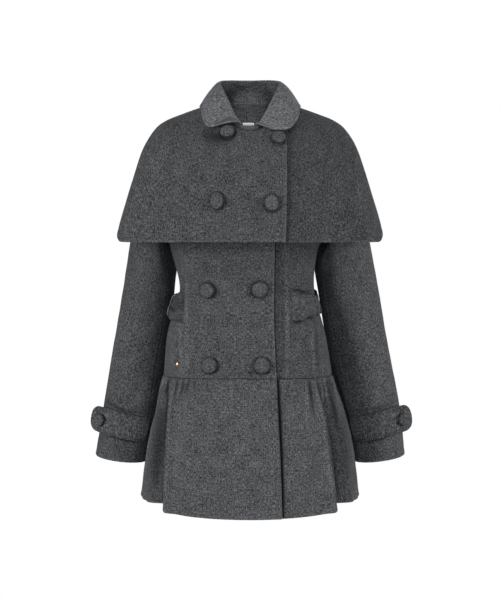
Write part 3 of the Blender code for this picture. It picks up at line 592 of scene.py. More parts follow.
def wall_faces(rows, columns):
    """The faces of a wall: outside, inside, and two rounds along its rim."""
    count = rows * columns
    at = np.arange(count).reshape(rows, columns)
    a, b, c, d = at[:-1, :-1], at[1:, :-1], at[1:, 1:], at[:-1, 1:]
    j, i = rim_of(rows, columns).T
    here, half = at[j, i], np.arange(len(j)) + 2 * count
    there, half_next = np.roll(here, -1), np.roll(half, -1)
    faces = [
        np.stack([a, b, c, d], axis=-1).reshape(-1, 4),
        np.stack([a, d, c, b], axis=-1).reshape(-1, 4) + count,
        np.stack([here, there, half_next, half], axis=-1),
        np.stack([half, half_next, there + count, here + count], axis=-1),
    ]
    return np.vstack(faces).tolist(), here

# %% A wall of cloth
def wall_of(name, outside, normals, look, edges, wall, anchor, nap):
    """A closed wall of cloth under a grid of points, and what later steps need to know of it."""
    rows, columns = outside.shape[:2]
    wall = np.broadcast_to(wall, (rows, columns))
    across, down = run_length(outside, 1), run_length(outside, 0)
    distance = dict(zip(SIDES, (across, across[:, -1:] - across, down, down[-1:] - down)))
    shaped = 0 * across
    for side, d in distance.items():
        shaped = shaped + sum(h * bell((d - at) / w) for h, at, w in EDGE_SHAPES[edges[side]])
        # painted highlight along hems, painted shade along belt and strap edges
        nap = nap + EDGE_PAINTED_LIGHT.get(edges[side], 0) * bell((d - 0.5) / 1.6)
    outside = outside + normals * (shaped * MM)[..., None]
    inside = outside - normals * (wall * MM)[..., None]
    middle = close_rim(outside, inside, normals, wall, edges)
    spots = np.vstack([outside.reshape(-1, 3), inside.reshape(-1, 3), middle])
    faces, rim = wall_faces(rows, columns)
    base = {"start": 0, "end": columns - 1, "middle": columns // 2}.get(anchor, anchor)
    u = (across - across[:, [base]]) * MM
    v = -(down[:, [base]] * MM) + 0 * u
    flat = np.stack([u, v], axis=-1).reshape(-1, 2)
    flat = np.vstack([flat, flat + LINING_APART, flat[rim]])
    # the painted light and shade, kept in the second UV map
    shade = nap.ravel() + 1
    shade = np.concatenate([shade, shade, shade[rim]])
    piece = mesh_object(name, spots, faces, look, flat, shade)
    return {"piece": piece, "grid": outside, "normals": normals, "distance": distance}

# %% [markdown]
# Each call that cuts a piece also names its solid, how it is held and what it lies on. That is kept
# in a dictionary until the end, where each piece is attached to the coat and its solid is hidden.

# %% Cut pieces
MADE = {}                  # every piece of cloth, by the name of its solid
SHADOW_RING_RADIUS, SHADOW_RING_WIDTH, SHADOW_RING_DEPTH = 14.1, 1.7, 0.7     # of the shadow ring painted into the cloth round each button


def painted_light(spots, out, marks):
    """Painted highlights and painted shade, from marks placed as seen from the front, with a
    painted shadow ring round each button.
    """
    x, z = spots[..., 0] / MM, spots[..., 2] / MM
    total = creased(x, z, marks)
    # a painted shadow ring round each button
    for at_x, at_z, wide, tall in BUTTON_SHADOW_RINGS:
        ring = np.hypot((x - at_x) / wide, (z - at_z) / tall)
        total = total - SHADOW_RING_DEPTH * bell((ring - SHADOW_RING_RADIUS) / SHADOW_RING_WIDTH)
    return total * ease(-2.5 * out[..., 1] + 0.4)


def cloth(node, held, on, surface, angle, place, look, lift, folds, marks=(), edges="plain",
          wall=WALL, anchor="start", kind="cloth"):
    """A cut piece over a grid of angles and places on its form.

    edges is one finish, or four for the sides at the start, the end, the top and the foot. anchor
    is the column at which the grain runs straight down."""
    finish = edges.split()
    edges = dict(zip(SIDES, finish * 4 if len(finish) == 1 else finish))
    spots, out = surface(angle, place), normal(surface, angle, place)
    height = np.broadcast_to(lift + (folds(angle, place, spots) if folds else 0), angle.shape)
    grid = spots + out * (height * MM)[..., None]
    # painted light and shade: the piece's marks and the button shadow rings
    nap = painted_light(spots, out, marks)
    made = wall_of(f"{node}_{kind}", grid, out, look, edges, wall, anchor, nap)
    MADE[node] = made | {"held": held, "on": on}


def line_beside(node, side, distance, skip=0.0, above=0.25):
    """A line on a finished piece's outside, at a distance from one of its edges, for stitches."""
    made = MADE[node]
    grid, gap = made["grid"] + made["normals"] * above * MM, made["distance"][side]
    if side in ("top", "foot"):
        grid, gap = grid.swapaxes(0, 1), gap.T
    line = []
    for p, d in zip(grid, gap):
        order = np.argsort(d)
        line.append([np.interp(distance, d[order], p[order, axis]) for axis in range(3)])
    line = np.array(line)
    run = run_length(line[None], 1)[0]
    return line[(run >= skip) & (run <= run[-1] - skip)]

# %% [markdown]
# ## The finishes
# The coating is a melange: black and pale grey fibres are spun together, so close up the yarns
# vary from charcoal to mid grey, along the warp and across it. A milled surface hides most of the
# weave, and its nap gives a soft, pale sheen at grazing angles. A picture of cloth could be laid
# on, but worked-out noise never repeats and stays sharp close up: a few noises on the map "cloth",
# stretched along each set of yarns, choose between a dark and a pale colour. Shader maths is easier
# to read as an expression, so a small class wraps a socket and lets the usual operators add the
# Math nodes.

# %% Shader expressions
class Signal:
    """A node's output, for use in an expression that builds Math nodes."""

    def __init__(self, look, socket):
        self.look, self.socket = look, socket

    def maths(self, operation, first, second):
        made = self.look.node("ShaderNodeMath", {"operation": operation}, {0: first, 1: second})
        return Signal(self.look, made.outputs[0])

    def __add__(self, other):
        return self.maths("ADD", self, other)

    def __radd__(self, other):
        return self.maths("ADD", other, self)

    def __sub__(self, other):
        return self.maths("SUBTRACT", self, other)

    def __mul__(self, other):
        return self.maths("MULTIPLY", self, other)

    def __pow__(self, other):
        return self.maths("POWER", self, other)

# %% Looks
class Look:
    """A material that is being made, with one Principled shader at its end."""

    def __init__(self, name):
        self.material = bpy.data.materials.new(name)
        self.material.use_nodes = True
        self.tree = self.material.node_tree
        self.shader = self.tree.nodes["Principled BSDF"]

    def node(self, kind, settings=None, inputs=None):
        """Adds a node: its settings first, then the values or links of its sockets."""
        made = self.tree.nodes.new(kind)
        for name, value in (settings or {}).items():
            setattr(made, name, value)
        for name, value in (inputs or {}).items():
            self.put(made.inputs[name], value)
        return made

    def put(self, socket, value):
        if isinstance(value, Signal):
            self.tree.links.new(value.socket, socket)
        else:
            socket.default_value = value

    def out(self, kind, settings=None, inputs=None, output=0):
        return Signal(self, self.node(kind, settings, inputs).outputs[output])

    def stretched(self, vector, factors):
        return self.out("ShaderNodeVectorMath", {"operation": "MULTIPLY"}, {0: vector, 1: factors})

    def noise(self, vector, scale, detail=2.0, roughness=0.6):
        """A noise between 0 and 1 whose waves are 1 / scale long."""
        return self.out(
            "ShaderNodeTexNoise", {"noise_dimensions": "3D"},
            {"Vector": vector, "Scale": scale, "Detail": detail, "Roughness": roughness},
        )

    def blend(self, share, dark, pale):
        made = self.node("ShaderNodeMix", {"data_type": "RGBA"}, {0: share, 6: dark, 7: pale})
        return Signal(self, made.outputs[2])

    def constants(self, **values):
        for name, value in values.items():
            self.shader.inputs[name.replace("_", " ")].default_value = value

    def in_mm(self, place):
        return self.stretched(place, (1000, 1000, 1000))

    def bump(self, height, strength, distance):
        given = {"Strength": strength, "Distance": distance, "Height": height}
        return self.out("ShaderNodeBump", None, given)

    def finish(self, **links):
        for name, value in links.items():
            self.put(self.shader.inputs[name.replace("_", " ")], value)
        return self.material

# %% [markdown]
# Yarns run down the cloth (warp) and across it (weft). Short noises give their uneven thickness and
# long ones their streaks. The second UV map then scales the pale share: that is painted light and
# shade, paler where light falls and darker where shade falls.

# %% Wool
YARN_RANGE = 0.412, 0.612  # values of the yarns' noise at which the colour is darkest and palest
SHEEN_TINT = (0.80, 0.82, 0.86, 1)


def wool(name, dark, pale, coarse=1.0):
    """Milled melange coating: yarns both ways, loose flecks, a faint mottle and a soft nap, with
    painted light and shade.
    """
    look = Look(name)
    place = look.in_mm(look.out("ShaderNodeUVMap", {"uv_map": "cloth"}))

    def yarns(across, along, detail, roughness):
        """A noise with this many waves to a millimetre across and along the cloth."""
        return look.noise(look.stretched(place, (across, along, 1)), 1.0, detail, roughness)

    warp = yarns(0.72 * coarse, 0.22 * coarse, 2.0, 0.6)
    weft = yarns(0.17 * coarse, 0.66 * coarse, 2.0, 0.6)
    long_warp = yarns(0.50 * coarse, 0.030, 1.0, 0.5)
    long_weft = yarns(0.035, 0.50 * coarse, 1.0, 0.5)
    flecks = look.noise(place, 0.62 * coarse, 2.0, 0.7)
    mottle = look.noise(place, 0.045, 2.0, 0.5)
    # the nap itself: a fine noise for roughness and bumps
    nap = look.noise(place, 1.7, 3.0, 0.7)
    # painted light and shade from the second UV map scales the pale share
    painted_light_map = look.out("ShaderNodeUVMap", {"uv_map": "nap"})
    painted_light = look.out("ShaderNodeSeparateXYZ", None, {0: painted_light_map})
    yarn = warp * 0.36 + long_warp * 0.09 + weft * 0.24 + long_weft * 0.06 + flecks * 0.25
    pale_share = look.out(
        "ShaderNodeMapRange", {"clamp": True},
        {0: yarn + (mottle - 0.5) * 0.06, 1: YARN_RANGE[0], 2: YARN_RANGE[1], 3: 0.0, 4: 1.0},
    ) ** 1.5 * painted_light
    look.constants(Sheen_Weight=0.05, Sheen_Roughness=0.5, Sheen_Tint=SHEEN_TINT)
    look.constants(Specular_IOR_Level=0.08)
    return look.finish(
        Base_Color=look.blend(pale_share, dark, pale), Roughness=0.88 + (nap - 0.5) * 0.14,
        Normal=look.bump(yarn * 0.8 + nap * 0.5, 0.55, 0.0006),
    )

# %% [markdown]
# The coat is one cloth. Five shades of the same finish stand in for light and shade: paler copies
# are a painted highlight on the collar, a loop, the skirt, one sleeve and the straps, darker ones a
# painted shade on the left fronts, the cape and the cuff buttons.

# %% Lit and shaded copies of the cloth
DARK, PALE = np.array([0.0165, 0.0170, 0.0180]), np.array([0.200, 0.206, 0.216])


def shaded(name, tone, coarse=1.0):
    """The coat's cloth with both of its colours made this many times paler."""
    return wool(name, (*(DARK * tone), 1), (*(PALE * tone), 1), coarse=coarse)


# copies of one cloth painted paler for light and darker for shade
WOOL, WOOL_PAINTED_LIT = shaded("charcoal_wool", 1.0), shaded("wool_painted_lit", 1.70)
WOOL_PAINTED_PALER, WOOL_PAINTED_DARKER = shaded("wool_painted_paler", 1.12), shaded("wool_painted_darker", 0.91)
WOOL_PAINTED_SHADE = shaded("wool_painted_shade", 0.77)
BUTTON_WOOL = shaded("covered_button", 1.05, 1.25)
THREAD = wool("wool_thread", (0.022, 0.023, 0.025, 1), (0.060, 0.062, 0.066, 1))
print("finishes:", WOOL.name, BUTTON_WOOL.name, THREAD.name)

# %% [markdown]
# The stud is polished brass with a soft, brushed unevenness, and the label is a plain white satin
# ribbon, woven with fine ribs across it.

# %% Brass and label
OBJECT_COORDINATES = 3     # the output of that name on a Texture Coordinate node


def brass():
    look = Look("brass")
    place = look.in_mm(look.out("ShaderNodeTexCoord", output=OBJECT_COORDINATES))
    brushed = look.noise(place, 0.9, 3.0, 0.6)
    look.constants(Metallic=1.0)
    colour = look.blend(brushed, (0.56, 0.40, 0.20, 1), (0.80, 0.64, 0.36, 1))
    return look.finish(Base_Color=colour, Roughness=0.20 + brushed * 0.14)


def satin():
    look = Look("label_white")
    place = look.in_mm(look.out("ShaderNodeUVMap", {"uv_map": "cloth"}))
    ribs = look.out(
        "ShaderNodeTexWave", {"wave_type": "BANDS", "bands_direction": "Y"},
        {"Vector": place, "Scale": 0.5, "Distortion": 0.4},
    )
    look.constants(Roughness=0.5, Sheen_Weight=0.2)
    colour = look.blend(ribs, (0.82, 0.82, 0.81, 1), (0.90, 0.90, 0.89, 1))
    return look.finish(Base_Color=colour, Normal=look.bump(ribs, 0.3, 0.0002))


BRASS, SATIN = brass(), satin()
print("finishes:", BRASS.name, SATIN.name)

# %% [markdown]
# ## Painted light and shade
# Paler and darker strokes are painted into the cloth's colour for light and shade: painted
# highlights on fold crests, seam ridges and lit sides, and painted shade in fold troughs, beside
# the laps, under the collar and cape, along belt and strap edges and on sides turned from the
# lamps. A few are dark seam and buttonhole lines. Each stroke has a place and a width and can be
# changed one by one.

# %% Painted light and shade
# painted highlight where the share is positive, painted shade where it is negative
PAINTED_LIGHT_MARKS = {                    # share paler, half width, path by x and height as seen from the front
    "body": [
        (0.5, 3.4, [(-126, -368), (-120.5, -420), (-120.5, -476)]),
        (0.8, 2.6, [(109, -382), (110, -420), (112.5, -474)]),
        (-0.5, 4.5, [(116, -384), (117, -420), (119.5, -474)]),
        (-0.22, 8, [(54, -262), (55, -310), (55, -368)]),
        (-0.9, 1.6, [(43, -230), (42, -300), (42, -360), (42.6, -400), (46, -500)]),
        (0.6, 2.6, [(-111.5, -262), (-111.5, -330), (-110, -400), (-110, -476)]),
        (0.6, 2.6, [(64, -246), (64, -320), (64, -425), (64, -476)]),
        (-0.35, 3.6, [(58, -330), (58, -420), (57.5, -474)]),
        (-0.20, 16, [(-112, -345), (-114, -365)]),
        (-1.2, 2.3, [(70, -322), (85, -325), (94, -327.5), (109, -328.5)]),
        (-1.3, 2.6, [(72, -379.5), (82, -379), (94, -374), (104, -372), (114, -374.5)]),
        (-0.6, 2.0, [(-128, -378), (-122, -381), (-114, -381)]),
        (-1.2, 1.9, [(-5, -329), (0, -329.3), (4, -329)]),
        (-1.2, 1.9, [(-5, -463.5), (0, -463.2), (4, -464)]),
        (-0.22, 9, [(-112, -251), (-40, -252), (36, -252)]),
    ],
    "skirt": [
        (-2.4, 3.0, [(46.8, -468), (48.4, -503), (50.4, -545), (53.4, -612), (56.8, -730)]),
        (-0.22, 26, [(64, -488), (96, -492), (120, -500)]),
        (-0.18, 26, [(-138, -490), (-118, -492), (-92, -490)]),
        (0.22, 7, [(148, -500), (163, -560)]),
        (-0.80, 14, [(-150, -508), (-158, -560), (-167, -625), (-170, -690)]),
        (-0.75, 2.6, [(-145, -492), (-148, -583), (-153.5, -705)]),
        (0.36, 2.6, [(-138, -500), (-141, -583), (-146.5, -710)]),
        (0.55, 2.6, [(-163, -502), (-173, -548), (-183, -605), (-190, -665)]),
        (-0.9, 3.2, [(-138, -475), (-144, -490), (-150, -512)]),
        (0.35, 2.2, [(-150, -480), (-155, -492), (-160, -508)]),
        (-0.75, 2.2, [(-102, -477), (-106, -488), (-110, -500)]),
        (-0.7, 2.2, [(-114, -477), (-117, -490), (-123, -512)]),
        (0.45, 2.2, [(-119.5, -477), (-123, -492), (-128.5, -516)]),
        (-0.65, 2.2, [(-125, -477), (-129, -494), (-134, -520)]),
        (-0.5, 2.1, [(-92, -477), (-94, -484), (-97, -492)]),
        (0.42, 2.6, [(96.5, -478), (97.5, -517), (99, -565)]),
        (-0.80, 3.2, [(101.5, -477), (106, -506), (111, -543)]),
        (0.60, 2.3, [(111, -477), (120, -517), (130, -570)]),
        (-0.90, 2.6, [(115.5, -476), (121.5, -502), (128, -535)]),
        (0.45, 1.8, [(122, -474), (126.5, -508), (133, -552)]),
        (-0.60, 1.9, [(126.5, -473), (130, -498), (135, -534)]),
        (0.50, 2.1, [(130.8, -472), (133.5, -508), (136, -556)]),
        (-0.8, 6, [(137, -472), (145, -517), (154, -570)]),
        (-0.75, 4.0, [(129, -520), (140, -596), (156, -700)]),
        (0.5, 2.8, [(125, -540), (132.5, -600), (147.5, -710)]),
        (-0.55, 13, [(154, -520), (168, -590), (177, -690)]),
    ],
}
print("rubbed places:", {form: len(marks) for form, marks in PAINTED_LIGHT_MARKS.items()})

# %% Painted light and shade of the other pieces
PAINTED_LIGHT_MARKS |= {
    "cape": [
        (0.13, 13, [(-150, -218), (-60, -222), (30, -224)]),
        (-0.14, 9, [(76, -92), (80, -150), (84, -215)]),
        (0.32, 5, [(-173, -85), (-166, -107), (-162, -130)]),
        (0.32, 6, [(187, -138), (190, -168), (190, -196)]),
        (-0.30, 5, [(164, -133), (166, -164), (166, -193)]),
        (-0.85, 12, [(-82, -46), (-66, -62), (-44, -62), (-26, -52)]),
    ],
    "collar": [
        (-0.7, 2.4, [(-60, -40), (-52, -35), (-44.7, -31.9), (-38, -29.5), (-32, -28.8),
                     (-26, -30.5), (-21, -34)]),
    ],
    "sleeve": [
        (-0.75, 2.4, [(-266, -532), (-245, -540), (-219, -548.5), (-184, -551)]),
        (-1.3, 3.4, [(-275, -580), (-257, -590), (-221, -601), (-186, -606)]),
        (-0.75, 2.4, [(183, -549), (207, -545.5), (237, -541.5), (268, -534)]),
        (-1.0, 3.4, [(190, -600), (212, -603), (234, -600), (252, -593), (278, -581)]),
        (1.3, 9, [(-150, -250), (-140, -268), (-133, -292)]),
        (0.9, 9, [(123, -250), (128, -285)]),
        (0.45, 13, [(138, -345), (148, -385), (158, -430)]),
        (0.3, 18, [(160, -440), (172, -490), (186, -530)]),
        (0.3, 17, [(184, -510), (190, -560), (200, -640)]),
        (0.10, 30, [(214, -560), (222, -600), (226, -640)]),
        (0.55, 9, [(-188, -500), (-194, -540)]),
        (0.35, 12, [(-170, -430), (-186, -480), (-196, -520), (-204, -570), (-208, -630)]),
        (-0.2, 34, [(-252, -500), (-262, -560), (-262, -630)]),
        (-1.3, 2.6, [(151, -460), (160, -497), (178, -554), (189, -604), (198, -638)]),
        (0.9, 2.6, [(144.5, -460), (154.5, -497), (172.5, -554), (183.5, -604), (192.5, -638)]),
        (-1.0, 2.6, [(-132, -300), (-138, -360), (-150, -430), (-160, -480)]),
        (0.8, 2.6, [(-126, -300), (-133, -360), (-145, -430), (-155, -480)]),
    ],
    "strap": [
        (0.35, 17, [(184, -552), (192, -572), (206, -596)]),
        (-0.08, 30, [(208, -572), (238, -567), (262, -562)]),
        (0.55, 11, [(-192, -548), (-195, -575), (-198, -600)]),
        (-0.12, 18, [(-228, -566), (-250, -562)]),
    ],
    "belt": [
        (-0.55, 13, [(-130, -340), (-122, -352), (-126, -370)]),
        (-1.0, 3.2, [(-134, -359), (-131, -363), (-127, -362)]),
        (-0.5, 1.6, [(-134, -344), (-136, -351), (-135, -359)]),
        (-0.9, 2.6, [(112, -336), (113, -339), (114, -342)]),
        (0.25, 4.5, [(110, -350), (115, -356), (114, -365)]),
    ],
}
print("rubbed places:", {form: len(marks) for form, marks in PAINTED_LIGHT_MARKS.items()})

# %% [markdown]
# ## The bodice
# Five pieces, sewn at the princess seams and sides. The wearer's right front laps over the left, so
# it rises by a cloth's thickness where the left front starts. Folds belong to the form and not to
# a piece: the lapping front and the one under it then bend together. The coordinates of a body
# crease are degrees round, times BODY_SCALE, and height, both close to millimetres.

# %% Creases of the bodice
BODY_SCALE = 2.1
BODY_CREASES = [
    (-1.6, 9, [(-118, -258), (-121, -290), (-130, -318)]),
    (1.2, 8, [(-96, -262), (-98, -296), (-104, -322)]),
    (-1.4, 7, [(126, -246), (121, -280), (128, -322)]),
    (1.0, 8, [(-60, -372), (-84, -392), (-108, -398)]),
    (-1.2, 8, [(-66, -356), (-92, -372), (-120, -374)]),
    (-1.5, 9, [(128, -372), (98, -388), (66, -392)]),
    (1.0, 9, [(122, -394), (96, -408), (74, -410)]),
    (-1.1, 8, [(-140, -386), (-120, -410), (-112, -446)]),
    (1.0, 10, [(-152, -400), (-134, -430), (-128, -462)]),
    (-1.3, 9, [(150, -380), (133, -410), (126, -452)]),
    (-2.0, 12, [(330, -300), (352, -312), (378, -306)]),
    (1.6, 11, [(322, -322), (350, -332), (384, -326)]),
    (-2.0, 10, [(398, -378), (372, -390), (340, -384)]),
    (-1.6, 10, [(440, -300), (420, -312), (398, -316)]),
    (-1.7, 9, [(300, -378), (322, -396), (350, -398)]),
    (1.4, 9, [(292, -400), (318, -414), (344, -420)]),
    (-1.6, 12, [(300, -190), (320, -215), (330, -250)]),
    (-1.6, 12, [(456, -190), (436, -218), (428, -252)]),
    (1.2, 14, [(378, -150), (380, -200), (376, -250)]),
]
print("creases on the bodice:", len(BODY_CREASES))

# %% Folds of the bodice
def folds_on(table, scale, first, waves):
    """Folds for a form: its table of creases, degrees counted from first, and slow waves."""
    size, depth = waves

    def folds(angle, place, spots):
        across = ((angle - first) % 360 + first) * scale
        return creased(across, spots[..., 2] / MM, table) + depth * uneven(spots, size)

    return folds


body_folds = folds_on(BODY_CREASES, BODY_SCALE, -110, (55, 0.45))


def beside_lap(rows, narrow, broad):
    """The hollow of a piece that lies under a lapping edge, just past that edge."""
    def hollow(angle, place, spots):
        past = spots[..., 0] / MM - rows.at(place)["lap_edge"]
        front = spots[..., 1] < 0
        return -1.0 * front * (narrow * bell((past - 1.2) / 1.5) + broad * bell((past - 6) / 9))

    return hollow


def together(*folds):
    """Several functions for folds as one."""
    return lambda angle, place, spots: sum(fold(angle, place, spots) for fold in folds)


def at_edge(rows, rise, width):
    """A lapping edge that stands up a little, as a thick turned-in edge does."""
    def lifted(angle, place, spots):
        past = np.abs(spots[..., 0] / MM - rows.at(place)["lap_edge"])
        return rise * bell(past / width) * (spots[..., 1] < 0)

    return lifted

# %% Lines of the bodice
def armhole_turn(place):
    share = (place - SHOULDER_TIP) / (UNDERARM - SHOULDER_TIP)
    return np.degrees(np.arccos(1 - 2 * np.clip(share, 0, 1)))


def side_angle(place):
    """How far from the front the body's front pieces reach: 90 but for the armhole."""
    return 90 - ARMHOLE_REACH * np.sin(np.radians(armhole_turn(place)))


def lapping(angle, place, seam, under, lap):
    """A lift that rises from nothing at the seam to the lap where the piece under starts."""
    low, high = seam(place), under(place) - LAP_LEAD
    return lap * ease((angle - low) / (high - low))

# %% Panels
def panel(node, held, on, form, sides, look, folds, edges, lift=None, anchor="start", **columns):
    """A cut piece of a form between two lines that run down it."""
    surface, places, marks = form
    angle, place = spread(surface, *sides, places, **columns)
    height = lapping(angle, place, *lift) if lift else 0.0
    cloth(node, held, on, surface, angle, place, look, height, folds, PAINTED_LIGHT_MARKS[marks], edges,
          anchor=anchor)

# %% Bodice
princess_right, under_edge, lap_edge, princess_left = (
    line_on(body, BODY, column) for column in BODY.columns[-4:]
)
bodice = body, places_down(body, 40, 8), "body"

panel(
    "front_right", "hung", "front_left", bodice, (princess_right, lap_edge), WOOL,
    together(body_folds, at_edge(BODY, 0.8, 7)), "ridge hem plain sewn",
    lift=(princess_right, under_edge, LAP), anchor="end",
)
panel(
    "front_left", "hung", "side_front_left", bodice, (under_edge, princess_left), WOOL_PAINTED_DARKER,
    together(body_folds, beside_lap(BODY, 2.2, 1.6)), "hem ridge plain sewn", through=lap_edge,
)
panel(
    "side_front_right", "hung", "front_right", bodice,
    (lambda place: -side_angle(place), princess_right), WOOL, body_folds,
    "sewn ridge plain sewn", anchor="end",
)
panel(
    "side_front_left", "hung", "front_left", bodice, (princess_left, side_angle), WOOL_PAINTED_DARKER,
    body_folds, "ridge sewn plain sewn",
)
panel(
    "back", "hung", "side_front_right", bodice,
    (lambda place: 180 - side_angle(place), lambda place: 180 + side_angle(place)),
    WOOL, body_folds, "sewn sewn plain sewn", anchor="middle",
)
print("bodice:", *MADE)

# %% [markdown]
# ## The skirt
# Two fronts and a back, gathered into the low waist seam. Below the seam each gather breaks up
# into short, uneven puckers a few millimetres wide, which die out within a hand's breadth. There
# are about a hundred, so a loop with a fixed seed places them instead of a hand.

# %% Puckers
GATHERED = [(48, 90, 3.4), (90, 270, 4.6), (270, 302, 3.4)]    # from, to and step, in degrees
PUCKER_TOP = 9.0           # millimetres below the seam at which a pucker is deepest


def pucker_table():
    """Short gathers at the seam: degrees round, depth, half width in degrees, and length."""
    pick = np.random.default_rng(21).uniform
    table = []
    for first, last, step in GATHERED:
        at = first + 1.5
        while at < last:
            way = 1 if len(table) % 2 else -1
            table.append((at, pick(0.7, 2.1) * way, pick(0.9, 1.7), pick(22, 68)))
            at += step * pick(0.4, 0.75)
    return table


PUCKERS = pucker_table()
print("puckers at the waist seam:", len(PUCKERS))

# %% Folds of the skirt
SKIRT_CREASES = [
    (1.4, 6, [(-190, -495), (-200, -572), (-214, -652)]),
    (-3.2, 6, [(-172, -506), (-166, -607), (-161, -694)]),
    (1.6, 6, [(-156, -483), (-126, -583), (-118, -706)]),
    (-1.6, 3.6, [(-133, -480), (-124, -514), (-128, -560)]),
    (-1.8, 3.4, [(-116, -478), (-108, -513), (-106, -547)]),
    (-1.5, 3.2, [(-101, -478), (-95, -504), (-93, -529)]),
    (-1.2, 3.2, [(-88, -478), (-84, -498), (-81, -516)]),
    (-1.0, 12, [(-60, -500), (-66, -560), (-70, -640)]),
    (1.0, 16, [(-20, -520), (-24, -600), (-26, -690)]),
    (-1.0, 13, [(60, -500), (66, -570), (74, -650)]),
    (1.1, 4.0, [(104, -478), (94, -529), (89, -579)]),
    (-1.2, 3.6, [(110, -478), (106, -530), (100, -575)]),
    (1.4, 4.5, [(118, -478), (126, -534), (118, -620)]),
    (-3.2, 6, [(138, -488), (143, -586), (138, -700)]),
    (1.2, 4.5, [(152, -480), (156, -518), (155, -553)]),
    (1.4, 6, [(172, -480), (168, -530), (178, -590)]),
    (-1.6, 6, [(186, -490), (188, -560), (190, -650)]),
]
SKIRT_SCALE, SKIRT_STEP, SKIRT_STEP_BEHIND = 2.6, 2.2, 3.0
print("creases on the skirt:", len(SKIRT_CREASES))


def skirt_folds(angle, place, spots):
    height = spots[..., 2] / MM
    drop = SKIRT.at(0.0)["z_side"] - height
    total = 0.45 * uneven(spots, 50)
    for at, depth, width, length in PUCKERS:
        gap = (angle % 360 - at + 180) % 360 - 180
        near = np.abs(gap) < 5 * width
        grown = ease(drop / PUCKER_TOP) * bell(np.maximum(drop - PUCKER_TOP, 0) / length)
        total = total + near * depth * bell(gap / width) * grown
    across = ((angle + 180) % 360 - 180) * SKIRT_SCALE
    return total + creased(across, height, SKIRT_CREASES)

# %% Skirt
skirt_under, skirt_lap = (line_on(plain_skirt, SKIRT, line) for line in ("under_edge", "lap_edge"))
skirting = skirt, places_down(plain_skirt, 30, 4), "skirt"


def fixed(degrees):
    """A line that runs straight down a form."""
    return lambda place: np.full(np.shape(place), float(degrees))


panel(
    "skirt_front_right", "gathered", "front_right", skirting, (fixed(-90), skirt_lap), WOOL_PAINTED_PALER,
    together(skirt_folds, at_edge(SKIRT, 1.2, 8)), "sewn hem sewn hem",
    lift=(lambda place: skirt_under(place) - 14, skirt_under, LAP), anchor="end", step=SKIRT_STEP,
)
panel(
    "skirt_front_left", "gathered", "front_left", skirting, (skirt_under, fixed(90)), WOOL_PAINTED_PALER,
    together(skirt_folds, beside_lap(SKIRT, 4.0, 0.4)), "hem sewn sewn hem",
    through=skirt_lap, step=SKIRT_STEP,
)
panel(
    "skirt_back", "gathered", "back", skirting, (fixed(90), fixed(270)), WOOL_PAINTED_PALER, skirt_folds,
    "sewn sewn sewn hem", anchor="middle", step=SKIRT_STEP_BEHIND,
)
print("with the skirt:", len(MADE), "pieces")

# %% [markdown]
# ## The sleeves
# A two-part sleeve bends forward at the elbow: a wide upper piece round the outside and a narrow
# one under the arm. Wool buckles a little inside the elbow and over the cuff, so the creases lie
# across the sleeve there. Both arms bend, but their creases differ, so each has its own table. The
# coordinates are degrees round the sleeve, times SLEEVE_SCALE, and height.

# %% Creases of the sleeves
SLEEVE_SCALE = 1.05
UNDER_SLEEVE = (140, 236)          # degrees round the right sleeve from its outer edge
SLEEVE_CREASES = {
    "right": [
        (-1.4, 8, [(60, -250), (92, -268), (122, -262)]),
        (1.0, 8, [(58, -268), (90, -288), (124, -284)]),
        (-1.8, 8, [(70, -318), (104, -334), (140, -330)]),
        (1.2, 8, [(64, -336), (100, -352), (138, -352)]),
        (-1.6, 8, [(84, -366), (116, -372), (150, -366)]),
        (-1.3, 9, [(20, -372), (48, -388), (84, -396)]),
        (1.0, 9, [(24, -396), (56, -410), (90, -414)]),
        (-1.2, 9, [(96, -430), (120, -446), (146, -446)]),
        (-1.1, 12, [(40, -470), (70, -500), (92, -520)]),
        (1.1, 11, [(60, -560), (84, -600), (92, -640)]),
        (-1.5, 9, [(-110, -330), (-80, -346), (-46, -340)]),
        (1.1, 9, [(-118, -352), (-84, -366), (-50, -362)]),
        (-1.4, 9, [(-130, -384), (-96, -398), (-60, -390)]),
        (-1.2, 10, [(-120, -450), (-90, -474), (-62, -500)]),
        (1.2, 12, [(-70, -540), (-84, -590), (-80, -640)]),
        (-1.3, 10, [(-30, -150), (-46, -200), (-50, -260)]),
    ],
    "left": [
        (-1.5, 8, [(64, -258), (94, -270), (124, -260)]),
        (1.1, 8, [(56, -282), (92, -294), (122, -286)]),
        (-1.7, 8, [(66, -326), (98, -344), (136, -342)]),
        (1.1, 8, [(58, -346), (94, -362), (132, -364)]),
        (-1.5, 8, [(90, -374), (120, -384), (148, -376)]),
        (-1.2, 9, [(26, -356), (54, -372), (88, -380)]),
        (-1.1, 10, [(90, -440), (114, -458), (142, -462)]),
        (1.0, 11, [(36, -486), (64, -512), (92, -528)]),
        (-1.1, 12, [(52, -570), (72, -604), (80, -640)]),
        (-1.4, 9, [(-116, -322), (-84, -340), (-50, -336)]),
        (1.0, 9, [(-112, -346), (-78, -360), (-44, -354)]),
        (-1.3, 9, [(-126, -392), (-92, -404), (-58, -398)]),
        (-1.1, 11, [(-124, -462), (-96, -488), (-70, -512)]),
        (-1.2, 11, [(-34, -160), (-50, -214), (-52, -270)]),
    ],
}
print("creases on the sleeves:", {side: len(rows) for side, rows in SLEEVE_CREASES.items()})

# %% Sleeves
def sleeve_folds_on(side):
    """A sleeve's folds, which fade out into its seam with the armhole."""
    plain = folds_on(SLEEVE_CREASES[side], SLEEVE_SCALE, -180, (46, 0.5))
    return lambda angle, place, spots: (
        ease(place / 0.9) * plain(np.asarray(angle) * -SIDE_SIGN[side], place, spots)
    )


sleeve_folds = {side: sleeve_folds_on(side) for side in SIDE_SIGN}


